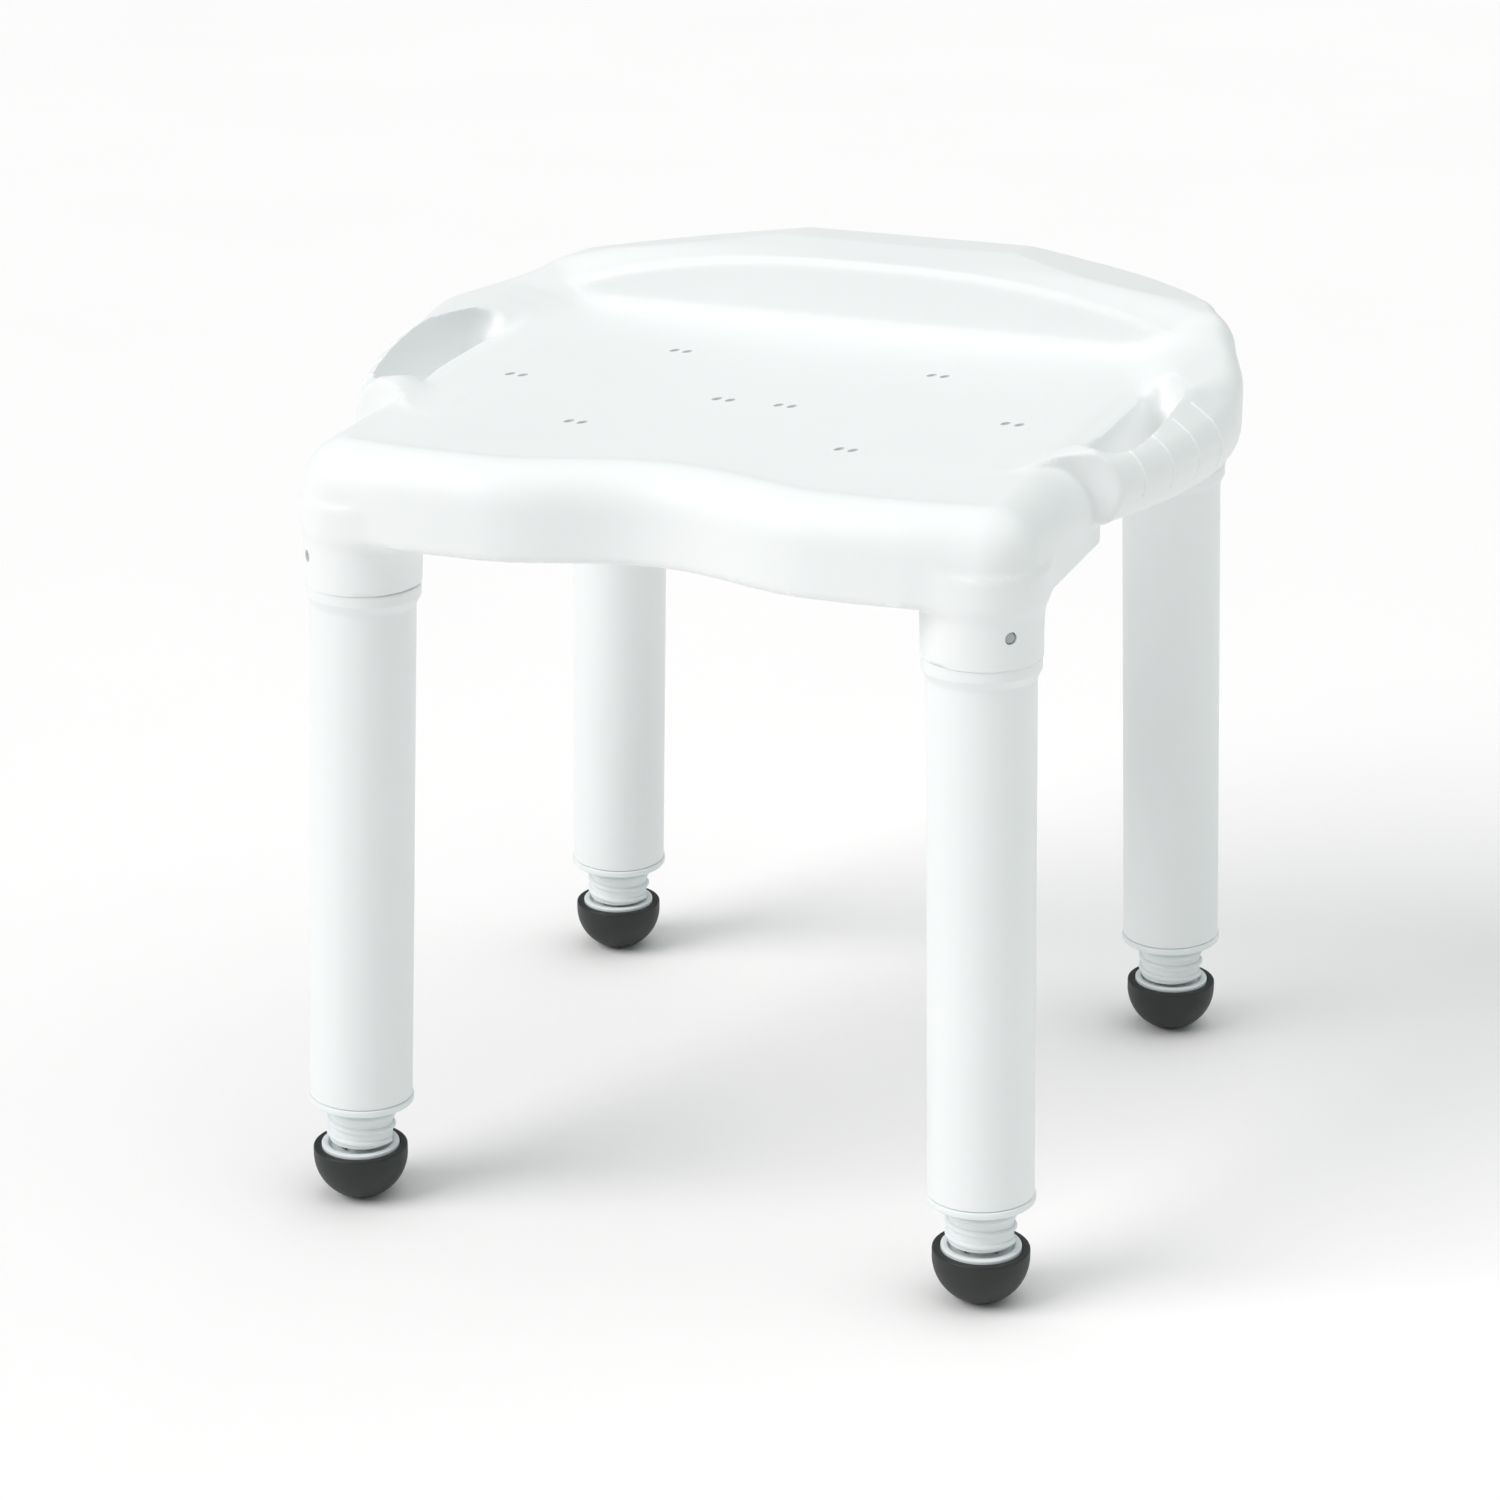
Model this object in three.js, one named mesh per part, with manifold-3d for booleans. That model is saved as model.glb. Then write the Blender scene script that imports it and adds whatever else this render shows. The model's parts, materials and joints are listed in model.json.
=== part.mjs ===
// Shower stool: a hollow moulded seat with two handles and a raised rear lip, on four tube legs whose
// feet screw in and out. Millimetres, +Z up, the origin on the floor under the middle of the object's
// box, -Y towards the front edge. Sizes along Y are first counted from the middle of the four legs.
import * as THREE from "three";
import { mergeVertices } from "three/addons/utils/BufferGeometryUtils.js";
import Module from "manifold-3d";

const wasm = await Module();
wasm.setup();

// Overall sizes
const seatHeight = 431;          // floor to the sitting surface at the shown leg setting
const footHalfX = 179;           // where the leg axes meet the floor
const footHalfY = 188.7;
const splay = 1.5 * Math.PI / 180;  // lean of each leg towards the middle, in X and again in Y

// Seat
const rimRise = 3;               // rim of the sitting surface above its floor
const skirtDrop = 49;            // sitting surface to the bottom of the skirt
const panelDrop = 31;            // sitting surface to the underside panel
const wall = 3.6;                // moulded wall
const skirtWidth = 28;           // hollow skirt, outer face to the underside recess
const edgeRound = 15;            // rounding along the top edge
const frontReach = footHalfY + 25.3;  // front bulges, from the middle
const scallopDepth = 21;
const scallopHalf = 92;
const cornerWall = 0.5;          // seat corner outside its leg socket, at the front
const rearCornerWall = 3;
const rearReach = footHalfY + 44.3;
const rearFlatHalf = 78;
const sideHalf = footHalfX + 21;  // side walls
const dishInset = 13;            // edge to the sitting surface
const dishSideY = -136;          // where the sitting surface starts along its straight sides
const trayDrop = 35;             // sitting surface to the bottom of the shell between the skirts

// Rear lip
const lipFaceY = footHalfY - 61.7;
const lipHalf = footHalfX + 17;
const lipRise = 35;              // above the sitting surface, in the middle
const lipCrestDepth = 52;        // flat crest before it falls to the rear
const lipFall = 7 * Math.PI / 180;

// Hand holes and handles
const holeX = footHalfX + 21.5;  // middle of each hand hole
const holeWidth = 25;
const holeFront = -68;
const holeRear = 44;
const handleReach = footHalfX + 64;  // widest point of the handles
const handleFront = -88;
const handleCurve = [             // inside the widest point, and along Y
  [38.5, handleFront], [14, -66], [3, -34], [0, 8], [4, 58], [15, 104],
];
const handleRise = 10;           // above the sitting surface
const handleDrop = 34;           // below the sitting surface
const handleRound = 7;
const handleLand = 14;           // raised strip between a hand hole and the sitting surface

// Drain slots, one pair at each place and its mirror
const drainPlaces = [[141, -40], [75, -115], [75, 37], [17.5, -48]];
const drainWidth = 3;
const drainLength = 7.5;
const drainGap = 7.5;            // between the two slots of a pair
const drainLean = 60 * Math.PI / 180;
const drainPost = 10;            // radius of the moulded post around a pair
const ventRadius = 2.5;

// Legs, measured along the leg axis from the floor
const tubeRadius = 28;
const tubeWall = 3;
const tubeBottom = 61;
const seamHeight = seatHeight - 78;  // collar top, where the tube meets the socket
const collarRadius = tubeRadius + 2.5;
const collarHeight = 6.5;
const spigotRadius = tubeRadius - 2;
const spigotLength = 40;
const spigotWall = 2.8;
const socketRadius = tubeRadius + 3;
const fitGap = 0.3;

// Height adjusters
const bushFlange = 4;
const bushLength = 26;
const screwRadius = tubeRadius - 9;
const threadDepth = 1.5;
const threadPitch = 7;
const screwBottom = 33;
const screwTop = 192;
const screwBore = screwRadius - 6;
const ballRadius = 9;
const ballHeight = 21;
const ballGap = 0.6;
const neckRadius = 6;

// Feet
const footRadius = tubeRadius - 2.2;
const footRim = 30;
const footWall = 4.2;
const treadRadius = 7;
const cupTop = 31.5;
const cupDish = 2.5;
const dimpleRadius = 1.2;        // moulding mark on each rubber tip
const dimpleDepth = 0.75;
const dimpleTurn = 251.4 * Math.PI / 180;
const dimpleDrop = 5;

// Lock buttons
const buttonHeight = seamHeight + 16;  // along the leg
const buttonRadius = 3;
const buttonProud = 0.8;         // short of the socket's outer face
const buttonHead = 4.6;
const buttonHeadThick = 1.6;
const springWidth = 7;
const springThick = 0.9;
const springDepth = 30;          // how far the clip's bend lies below the button
const springBend = 5;            // radius of the bend
const springKnee = 5;            // straight length on each side of the button

const rimZ = seatHeight + rimRise;
const skirtZ = seatHeight - skirtDrop;
const panelZ = seatHeight - panelDrop;
const roundSides = 20;           // facets round a tube, a socket or a foot
const smallSides = 12;           // facets round a thread, a ball or a button
const legEnds = [
  { name: "front_left", x: -1, y: -1 },
  { name: "front_right", x: 1, y: -1 },
  { name: "rear_left", x: -1, y: 1 },
  { name: "rear_right", x: 1, y: 1 },
];

const seatPlastic = { color: 0xf3f6f7, roughness: 0.42, metalness: 0 };
const tubePlastic = { color: 0xeef3f4, roughness: 0.4, metalness: 0 };
const adjusterPlastic = { color: 0xe9eff0, roughness: 0.4, metalness: 0 };
const rubber = { color: 0x1c1e1f, roughness: 0.75, metalness: 0 };
const buttonPlastic = { color: 0xb9c0c2, roughness: 0.45, metalness: 0 };
const springSteel = { color: 0xb4b8bb, roughness: 0.3, metalness: 1 };

// Solids

function solidOf(geometry) {
  const bare = geometry.index ? geometry.toNonIndexed() : geometry.clone();
  bare.deleteAttribute("normal");
  bare.deleteAttribute("uv");
  const merged = mergeVertices(bare, 1e-4);
  const mesh = new wasm.Mesh({
    numProp: 3,
    vertProperties: new Float32Array(merged.attributes.position.array),
    triVerts: new Uint32Array(merged.index.array),
  });
  return new wasm.Manifold(mesh);
}

function meshOf(name, solid, finish) {
  const { vertProperties, triVerts } = solid.getMesh();
  const geometry = new THREE.BufferGeometry();
  geometry.setAttribute("position", new THREE.BufferAttribute(new Float32Array(vertProperties), 3));
  geometry.setIndex(new THREE.BufferAttribute(new Uint32Array(triVerts), 1));
  geometry.computeVertexNormals();
  const mesh = new THREE.Mesh(geometry, new THREE.MeshStandardMaterial(finish));
  mesh.name = name;
  return mesh;
}

function joined(solids) {
  return solids.reduce((whole, solid) => whole.add(solid));
}

function mirrored(points) {
  return points.map((point) => new THREE.Vector2(-point.x, point.y)).reverse();
}

// A plan outline pushed up from one height to another, with an optional rounded rim at both ends.
function slab(points, low, high, round = 0, segments = 3) {
  const depth = high - low - 2 * round;
  const geometry = new THREE.ExtrudeGeometry(new THREE.Shape(points), {
    depth, curveSegments: 1, bevelEnabled: round > 0, bevelThickness: round, bevelSize: round,
    bevelOffset: -round, bevelSegments: segments,
  });
  return solidOf(geometry.translate(0, 0, low + round));
}

// Moves every point of a counter-clockwise loop inwards by the same distance.
function inset(points, distance) {
  return points.map((point, i) => {
    const before = points[(i + points.length - 1) % points.length];
    const after = points[(i + 1) % points.length];
    const into = point.clone().sub(before).normalize();
    const out = after.clone().sub(point).normalize();
    const normal = new THREE.Vector2(-into.y - out.y, into.x + out.x).normalize();
    const reach = distance / Math.max(0.5, normal.dot(new THREE.Vector2(-into.y, into.x)));
    return point.clone().addScaledVector(normal, reach);
  });
}

function arcPoints(x, y, radius, from, to, steps) {
  return Array.from({ length: steps + 1 }, (_, i) => {
    const angle = (from + (to - from) * i / steps) * Math.PI / 180;
    return new THREE.Vector2(x + radius * Math.cos(angle), y + radius * Math.sin(angle));
  });
}

function roundedBox(x, y, width, length, radius, steps = 3) {
  const right = x + width / 2 - radius;
  const left = x - width / 2 + radius;
  const rear = y + length / 2 - radius;
  const front = y - length / 2 + radius;
  return [
    ...arcPoints(right, front, radius, -90, 0, steps), ...arcPoints(right, rear, radius, 0, 90, steps),
    ...arcPoints(left, rear, radius, 90, 180, steps), ...arcPoints(left, front, radius, 180, 270, steps),
  ];
}

function turned(profile, segments = roundSides) {
  const points = profile.map(([radius, height]) => new THREE.Vector2(radius, height));
  return solidOf(new THREE.LatheGeometry(points, segments).rotateX(Math.PI / 2));
}

function rod(radius, low, high, segments = roundSides) {
  return turned([[0, low], [radius, low], [radius, high], [0, high]], segments);
}

// Leg frames

function legAt(end) {
  const group = new THREE.Group();
  const lean = Math.tan(splay);
  const axis = new THREE.Vector3(-end.x * lean, -end.y * lean, 1).normalize();
  group.quaternion.setFromUnitVectors(new THREE.Vector3(0, 0, 1), axis);
  group.position.set(end.x * footHalfX, end.y * footHalfY, 0);
  group.updateMatrixWorld(true);
  return group;
}

function legPoint(end, height) {
  return new THREE.Vector3(0, 0, height).applyMatrix4(legAt(end).matrixWorld);
}

function inLeg(solid, end) {
  return solid.transform(legAt(end).matrixWorld.elements);
}

// A pin across the leg, along the outward diagonal, from one distance to another.
function crossRod(end, radius, from, to, segments = smallSides) {
  const turn = Math.atan2(end.y, end.x);
  const matrix = new THREE.Matrix4().makeRotationZ(turn)
    .multiply(new THREE.Matrix4().makeTranslation(0, 0, buttonHeight))
    .multiply(new THREE.Matrix4().makeRotationY(Math.PI / 2));
  return rod(radius, from, to, segments).transform(matrix.elements);
}

// Seat outlines, each from the front middle round the right half and back along the left

function frontEdge() {
  const steps = 7;
  return Array.from({ length: steps + 1 }, (_, i) => {
    const x = scallopHalf * i / steps;
    const dip = 0.5 + 0.5 * Math.cos(Math.PI * i / steps);
    return new THREE.Vector2(x, -frontReach + scallopDepth * dip);
  });
}

function closeHalf(half) {
  const inner = half.filter((point) => point.x > 1e-6);
  return [...half, ...mirrored(inner)];
}

function trayOutline() {
  const front = legPoint(legEnds[1], seatHeight - panelDrop);
  const rear = legPoint(legEnds[3], seatHeight - panelDrop);
  const frontRadius = socketRadius + cornerWall;
  const rearRadius = socketRadius + rearCornerWall;
  const half = [
    ...frontEdge(),
    ...arcPoints(front.x, front.y, frontRadius, -85, -5, 6),
    new THREE.Vector2(sideHalf, 0),
    ...arcPoints(rear.x, rear.y, rearRadius, 5, 76, 5),
    new THREE.Vector2(rearFlatHalf + 45, rearReach - 12),
    new THREE.Vector2(rearFlatHalf, rearReach - 1.5),
    new THREE.Vector2(rearFlatHalf / 2, rearReach),
    new THREE.Vector2(0, rearReach),
  ];
  return closeHalf(half);
}

function handleInner() {
  return holeX - holeWidth / 2 - handleLand;
}

function handleOutline() {
  const rear = legPoint(legEnds[3], seatHeight);
  const curve = new THREE.SplineCurve([
    ...handleCurve.map(([inside, y]) => new THREE.Vector2(handleReach - inside, y)),
    new THREE.Vector2(rear.x + socketRadius + rearCornerWall, rear.y),
  ]);
  const inner = handleInner();
  return [
    new THREE.Vector2(inner, handleFront), ...curve.getPoints(12),
    new THREE.Vector2(inner, rear.y),
  ];
}

// The sunk sitting surface: it follows the front edge and ends at the lip's face.
function dishOutline() {
  const side = handleInner();
  const front = inset(trayOutline(), dishInset).filter((point) => (
    point.x > -1e-6 && point.x < side - 2 && point.y < holeFront));
  return closeHalf([...front, new THREE.Vector2(side, dishSideY), new THREE.Vector2(side, lipFaceY)]);
}

function lipArch(rise, half, y0, y1) {
  const steps = 12;
  const points = [];
  for (let i = 0; i <= steps; i += 1) {
    const angle = Math.PI * i / steps;
    const x = half * Math.cos(angle);
    const height = rise * Math.pow(Math.max(0, 1 - (x / half) ** 2), 0.6);
    points.push(new THREE.Vector2(x, seatHeight + height));
  }
  const base = seatHeight - panelDrop / 2;
  const shape = new THREE.Shape([...points, new THREE.Vector2(-half, base), new THREE.Vector2(half, base)]);
  const geometry = new THREE.ExtrudeGeometry(shape, { depth: y1 - y0, bevelEnabled: false });
  return solidOf(geometry.rotateX(Math.PI / 2).translate(0, y1, 0));
}

// Everything above the sloping rear half of the lip's crest.
function lipSlope(thinner) {
  const size = 2 * handleReach;
  const tall = 2 * lipRise;
  const geometry = new THREE.BoxGeometry(size, size, tall).translate(0, size / 2, tall / 2);
  geometry.rotateX(-lipFall);
  geometry.translate(0, lipFaceY + lipCrestDepth, seatHeight + lipRise - thinner);
  return solidOf(geometry);
}

function handHole(side, grow, low, high) {
  const length = holeRear - holeFront + 2 * grow;
  const middle = (holeFront + holeRear) / 2;
  const width = holeWidth + 2 * grow;
  return slab(roundedBox(side * holeX, middle, width, length, 10 + grow), low, high);
}

function drainSlots() {
  const slots = [];
  for (const side of [-1, 1]) {
    for (const [x, y] of drainPlaces) {
      for (const step of [-0.5, 0.5]) {
        const slot = slab(roundedBox(0, 0, drainLength, drainWidth, drainWidth / 2 - 0.01, 2),
          panelZ - 5, rimZ + 5);
        const matrix = new THREE.Matrix4().makeTranslation(side * x + step * drainGap, y, 0)
          .multiply(new THREE.Matrix4().makeRotationZ(drainLean));
        slots.push(slot.transform(matrix.elements));
      }
    }
  }
  return joined(slots);
}

function drainPosts() {
  const posts = [];
  for (const side of [-1, 1]) {
    for (const [x, y] of drainPlaces) {
      posts.push(rod(drainPost, skirtZ, rimZ, 8).translate(side * x, y, 0));
    }
  }
  return joined(posts);
}

function seatOuter() {
  const tray = trayOutline();
  const handle = handleOutline();
  const handleLow = seatHeight - handleDrop;
  const handleHigh = seatHeight + handleRise;
  const parts = [
    slab(tray, seatHeight - trayDrop, rimZ, edgeRound, 3),
    slab(tray, skirtZ, rimZ - edgeRound - 2, 3, 1),
    slab(handle, handleLow, handleHigh, handleRound, 2),
    slab(mirrored(handle), handleLow, handleHigh, handleRound, 2),
    lipArch(lipRise, lipHalf, lipFaceY, rearReach + 1)
      .intersect(slab(inset(tray, 3), panelZ, seatHeight + lipRise + 1))
      .subtract(lipSlope(0)),
    ...legEnds.map((end) => inLeg(rod(socketRadius, seamHeight + fitGap, rimZ - edgeRound), end)),
  ];
  return joined(parts);
}

function seatHollow() {
  const tray = trayOutline();
  const handle = inset(handleOutline(), wall);
  const recess = slab(inset(tray, skirtWidth - wall), skirtZ - 1, panelZ + wall);
  const hollows = [
    slab(inset(tray, wall), panelZ, seatHeight - wall, edgeRound - wall, 2),
    slab(inset(tray, wall), skirtZ + wall, panelZ + 12).subtract(recess),
    slab(handle, seatHeight - handleDrop + wall, seatHeight + handleRise - wall, handleRound - wall, 1),
    slab(mirrored(handle), seatHeight - handleDrop + wall, seatHeight + handleRise - wall,
      handleRound - wall, 1),
    lipArch(lipRise - wall, lipHalf - wall, lipFaceY + wall, rearReach)
      .intersect(slab(inset(tray, wall + 3), panelZ + 2, seatHeight + lipRise))
      .subtract(lipSlope(wall)),
  ];
  const kept = [
    drainPosts(),
    handHole(-1, wall, skirtZ - 1, rimZ + 20), handHole(1, wall, skirtZ - 1, rimZ + 20),
    ...legEnds.map((end) => inLeg(rod(socketRadius, skirtZ - 20, seamHeight + spigotLength + 6), end)),
  ];
  return joined(hollows).subtract(recess).subtract(joined(kept));
}

function seatSolid() {
  const tray = trayOutline();
  const cuts = [
    slab(inset(tray, skirtWidth), skirtZ - 1, panelZ),
    slab(dishOutline(), seatHeight, rimZ + handleRise + 1),
    handHole(-1, 0, skirtZ - 1, rimZ + 20), handHole(1, 0, skirtZ - 1, rimZ + 20),
    drainSlots(),
    rod(ventRadius, skirtZ, panelZ + wall + 1, 8).translate(0, lipFaceY - 30, 0),
  ];
  for (const end of legEnds) {
    const bore = rod(spigotRadius + fitGap, seamHeight - 1, seamHeight + spigotLength + 2);
    cuts.push(inLeg(bore, end));
    cuts.push(inLeg(crossRod(end, buttonRadius + fitGap, spigotRadius - 2, socketRadius + 8), end));
  }
  return seatOuter().subtract(seatHollow()).subtract(joined(cuts));
}

// Leg pieces, each along its own leg axis

function legTube(end) {
  const spigotTop = seamHeight + spigotLength;
  const bore = tubeRadius - tubeWall;
  const spigotBore = spigotRadius - spigotWall;
  const solid = turned([
    [bore, tubeBottom], [tubeRadius, tubeBottom],
    [tubeRadius, seamHeight - collarHeight - 5], [collarRadius, seamHeight - collarHeight],
    [collarRadius, seamHeight], [spigotRadius, seamHeight], [spigotRadius, spigotTop - 2],
    [spigotRadius - 1, spigotTop], [spigotBore, spigotTop], [spigotBore, seamHeight - collarHeight],
    [bore, seamHeight - collarHeight - 6], [bore, tubeBottom],
  ]);
  return solid.subtract(crossRod(end, buttonRadius + fitGap, spigotBore - 2, spigotRadius + 2));
}

function threadBush() {
  const outer = tubeRadius - tubeWall - fitGap;
  const bore = screwRadius + fitGap;
  const flange = tubeRadius + 0.8;
  const low = tubeBottom - fitGap - bushFlange;
  return turned([
    [bore, low], [flange - 1, low], [flange, low + 1], [flange, low + bushFlange],
    [outer, low + bushFlange], [outer, low + bushLength], [bore, low + bushLength], [bore, low],
  ]);
}

// A screw body: its rows follow the thread, a crest and a root to each turn, and a fan closes each end.
function threadBlank(low, high) {
  const sides = smallSides;
  const rows = 2 * Math.ceil((high - low) / threadPitch) + 4;
  const positions = [];
  const triangles = [];
  for (let row = 0; row <= rows; row += 1) {
    for (let side = 0; side < sides; side += 1) {
      const angle = 2 * Math.PI * side / sides;
      const radius = row % 2 ? screwRadius - threadDepth : screwRadius;
      const height = low + threadPitch * (row / 2 - 1 + side / sides);
      positions.push(radius * Math.cos(angle), radius * Math.sin(angle), height);
    }
  }
  const at = (row, side) => (side < sides ? row * sides + side : (row + 2) * sides);
  for (let row = 0; row < rows; row += 1) {
    for (let side = 0; side < sides; side += 1) {
      if (side === sides - 1 && row + 3 > rows) continue;
      triangles.push(at(row, side), at(row, side + 1), at(row + 1, side + 1));
      triangles.push(at(row, side), at(row + 1, side + 1), at(row + 1, side));
    }
  }
  const turn = (row) => Array.from({ length: sides }, (_, side) => at(row, side));
  const bottom = [...turn(0), at(2, 0), at(1, 0)];
  const top = [...turn(rows), at(rows - 1, sides - 1), at(rows - 2, sides - 1)];
  const lowPoint = positions.length / 3;
  positions.push(0, 0, low - threadPitch, 0, 0, low + threadPitch * rows / 2);
  bottom.forEach((point, i) => triangles.push(lowPoint, bottom[(i + 1) % bottom.length], point));
  top.forEach((point, i) => triangles.push(lowPoint + 1, point, top[(i + 1) % top.length]));
  const geometry = new THREE.BufferGeometry();
  geometry.setAttribute("position", new THREE.Float32BufferAttribute(positions, 3));
  geometry.setIndex(triangles);
  return solidOf(geometry);
}

// A profile point of a turned piece, kept from crossing the axis.
function fromAxis(point) {
  return [Math.max(0, point.x), point.y];
}

function legScrew() {
  const span = rod(screwRadius + 1, screwBottom, screwTop, smallSides);
  const trimmed = threadBlank(screwBottom, screwTop).intersect(span);
  const ball = arcPoints(0, ballHeight, ballRadius, -90, 46, 5).map(fromAxis);
  const stud = turned([...ball, [neckRadius, screwBottom + 2], [0, screwBottom + 2]], smallSides);
  return trimmed.add(stud).subtract(rod(screwBore, screwBottom + 8, screwTop + 1, smallSides));
}

// Foot pieces stand level: their heights are measured straight up from the floor

function footCentre() {
  return Math.sqrt(footRadius ** 2 - treadRadius ** 2);
}

function rubberTip() {
  const centre = footCentre();
  const inner = footRadius - footWall;
  const start = Math.atan2(-centre, treadRadius) * 180 / Math.PI;
  const outerArc = arcPoints(0, centre, footRadius, start, 0, 5);
  const outerProfile = outerArc.map((point) => [point.x, Math.max(0, point.y)]);
  const innerProfile = arcPoints(0, centre, inner, 0, -90, 4).map(fromAxis);
  const solid = turned([
    [0, 0], ...outerProfile, [footRadius, footRim - 1.5], [footRadius - 1.5, footRim],
    [inner + 0.6, footRim], [inner, footRim - 0.6], ...innerProfile,
  ]);
  const deep = footRadius - dimpleDepth;
  const place = new THREE.Matrix4()
    .makeTranslation(deep * Math.cos(dimpleTurn), deep * Math.sin(dimpleTurn), centre - dimpleDrop)
    .multiply(new THREE.Matrix4().makeRotationX(Math.PI / 2));
  const dimple = rod(dimpleRadius, -2, 2, 8).transform(place.elements);
  return solid.subtract(dimple);
}

function footCup() {
  const centre = footCentre();
  const outer = footRadius - footWall - fitGap;
  const pocket = ballRadius + ballGap;
  const outerArc = arcPoints(0, centre, outer, -90, 0, 4).map(fromAxis);
  const pocketArc = arcPoints(0, ballHeight, pocket, 26, -90, 5).map(fromAxis);
  return turned([
    ...outerArc, [outer, cupTop - 1], [outer - 1, cupTop], [outer - 2, cupTop],
    [screwRadius - 3, cupTop - cupDish], [pocketArc[0][0] + 2, cupTop - cupDish], ...pocketArc,
  ]);
}

// The button and its spring lie along +X here and are turned to the outward diagonal

function lockButton() {
  const tip = socketRadius - buttonProud;
  const headOut = Math.sqrt((spigotRadius - spigotWall) ** 2 - buttonHead ** 2) - fitGap;
  return turned([
    [0, headOut - buttonHeadThick], [buttonHead, headOut - buttonHeadThick], [buttonHead, headOut],
    [buttonRadius, headOut], [buttonRadius, tip - 1], [buttonRadius - 1, tip], [0, tip],
  ], smallSides).transform(new THREE.Matrix4().makeTranslation(0, 0, buttonHeight)
    .multiply(new THREE.Matrix4().makeRotationY(Math.PI / 2)).elements);
}

function buttonSpring() {
  const bore = spigotRadius - spigotWall;
  const half = springThick / 2;
  const headIn = Math.sqrt(bore ** 2 - buttonHead ** 2) - fitGap - buttonHeadThick - fitGap - half;
  const bendHeight = buttonHeight - springDepth;
  const wallSide = -(Math.sqrt(bore ** 2 - (springWidth / 2) ** 2) - fitGap - half);
  const bend = arcPoints(0, bendHeight + springBend, springBend, -20, -160, 5);
  const high = buttonHeight + springWidth / 2;
  const knee = buttonHeight - springKnee;
  const line = [
    new THREE.Vector2(headIn, high), new THREE.Vector2(headIn, knee),
    ...bend,
    new THREE.Vector2(wallSide, knee), new THREE.Vector2(wallSide, high),
  ];
  const side = (sign) => line.map((point, i) => {
    const before = line[Math.max(0, i - 1)];
    const after = line[Math.min(line.length - 1, i + 1)];
    const along = after.clone().sub(before).normalize();
    return point.clone().add(new THREE.Vector2(-along.y, along.x).multiplyScalar(sign * half));
  });
  const shape = new THREE.Shape([...side(1), ...side(-1).reverse()]);
  const geometry = new THREE.ExtrudeGeometry(shape, { depth: springWidth, bevelEnabled: false });
  return solidOf(geometry.rotateX(Math.PI / 2).translate(0, springWidth / 2, 0));
}

function seatGroup() {
  const group = new THREE.Group();
  group.add(meshOf("seat", seatSolid(), seatPlastic));
  return group;
}

function legGroup(end) {
  const group = legAt(end);
  group.add(meshOf(`${end.name}_leg_tube`, legTube(end), tubePlastic));
  group.add(meshOf(`${end.name}_thread_bush`, threadBush(), adjusterPlastic));
  group.add(meshOf(`${end.name}_leg_screw`, legScrew(), adjusterPlastic));
  const lock = new THREE.Group();
  lock.rotation.z = Math.atan2(end.y, end.x);
  lock.add(meshOf(`${end.name}_lock_button`, lockButton(), buttonPlastic));
  lock.add(meshOf(`${end.name}_button_spring`, buttonSpring(), springSteel));
  group.add(lock);
  return group;
}

function footGroup(end) {
  const group = new THREE.Group();
  const ball = legPoint(end, ballHeight);
  group.position.set(ball.x, ball.y, 0);
  group.add(meshOf(`${end.name}_foot_cup`, footCup(), adjusterPlastic));
  group.add(meshOf(`${end.name}_rubber_tip`, rubberTip(), rubber));
  return group;
}

const stool = new THREE.Group();
stool.add(seatGroup());
for (const end of legEnds) stool.add(legGroup(end), footGroup(end));

// The rear lip reaches further than the front edge, so the whole is moved to stand over its origin.
const box = new THREE.Box3().setFromObject(stool);
stool.position.y = -(box.min.y + box.max.y) / 2;

export default stool;
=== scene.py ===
import json
import math

import bmesh
import bpy
import numpy as np
from mathutils import Matrix, Vector

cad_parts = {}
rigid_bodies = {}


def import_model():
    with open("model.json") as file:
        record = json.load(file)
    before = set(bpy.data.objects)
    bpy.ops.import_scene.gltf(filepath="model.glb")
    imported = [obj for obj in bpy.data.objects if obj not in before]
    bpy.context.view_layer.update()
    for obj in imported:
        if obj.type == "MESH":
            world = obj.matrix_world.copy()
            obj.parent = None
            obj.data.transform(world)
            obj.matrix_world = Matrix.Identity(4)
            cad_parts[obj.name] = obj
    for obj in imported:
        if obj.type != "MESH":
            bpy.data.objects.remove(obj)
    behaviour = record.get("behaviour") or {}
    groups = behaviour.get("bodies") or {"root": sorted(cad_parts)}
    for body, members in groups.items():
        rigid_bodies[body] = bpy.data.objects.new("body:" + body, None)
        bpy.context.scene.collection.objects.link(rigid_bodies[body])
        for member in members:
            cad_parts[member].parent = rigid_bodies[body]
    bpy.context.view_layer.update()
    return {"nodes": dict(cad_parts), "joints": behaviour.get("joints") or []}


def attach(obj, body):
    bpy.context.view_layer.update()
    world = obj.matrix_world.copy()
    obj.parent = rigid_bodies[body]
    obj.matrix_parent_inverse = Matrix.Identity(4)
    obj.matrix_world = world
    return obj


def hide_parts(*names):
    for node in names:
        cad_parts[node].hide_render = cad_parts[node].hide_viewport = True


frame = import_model()
scene = bpy.context.scene
mm = 0.001
ends = ["front_left", "front_right", "rear_left", "rear_right"]
joints = {joint["name"]: joint for joint in frame["joints"]}


class Sock:
    # One node output; the usual operators add Math nodes behind it
    def __init__(self, graph, out):
        self.graph = graph
        self.out = out

    def math(self, operation, *others):
        values = {i + 1: other for i, other in enumerate(others)}
        return self.graph.node("ShaderNodeMath", {"operation": operation}, {0: self, **values})

    def __add__(self, other):
        return self.math("ADD", other)

    def __mul__(self, other):
        return self.math("MULTIPLY", other)

    def __sub__(self, other):
        return self.math("SUBTRACT", other)

    def clamped(self):
        return self.math("MAXIMUM", 0.0).math("MINIMUM", 1.0)


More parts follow.
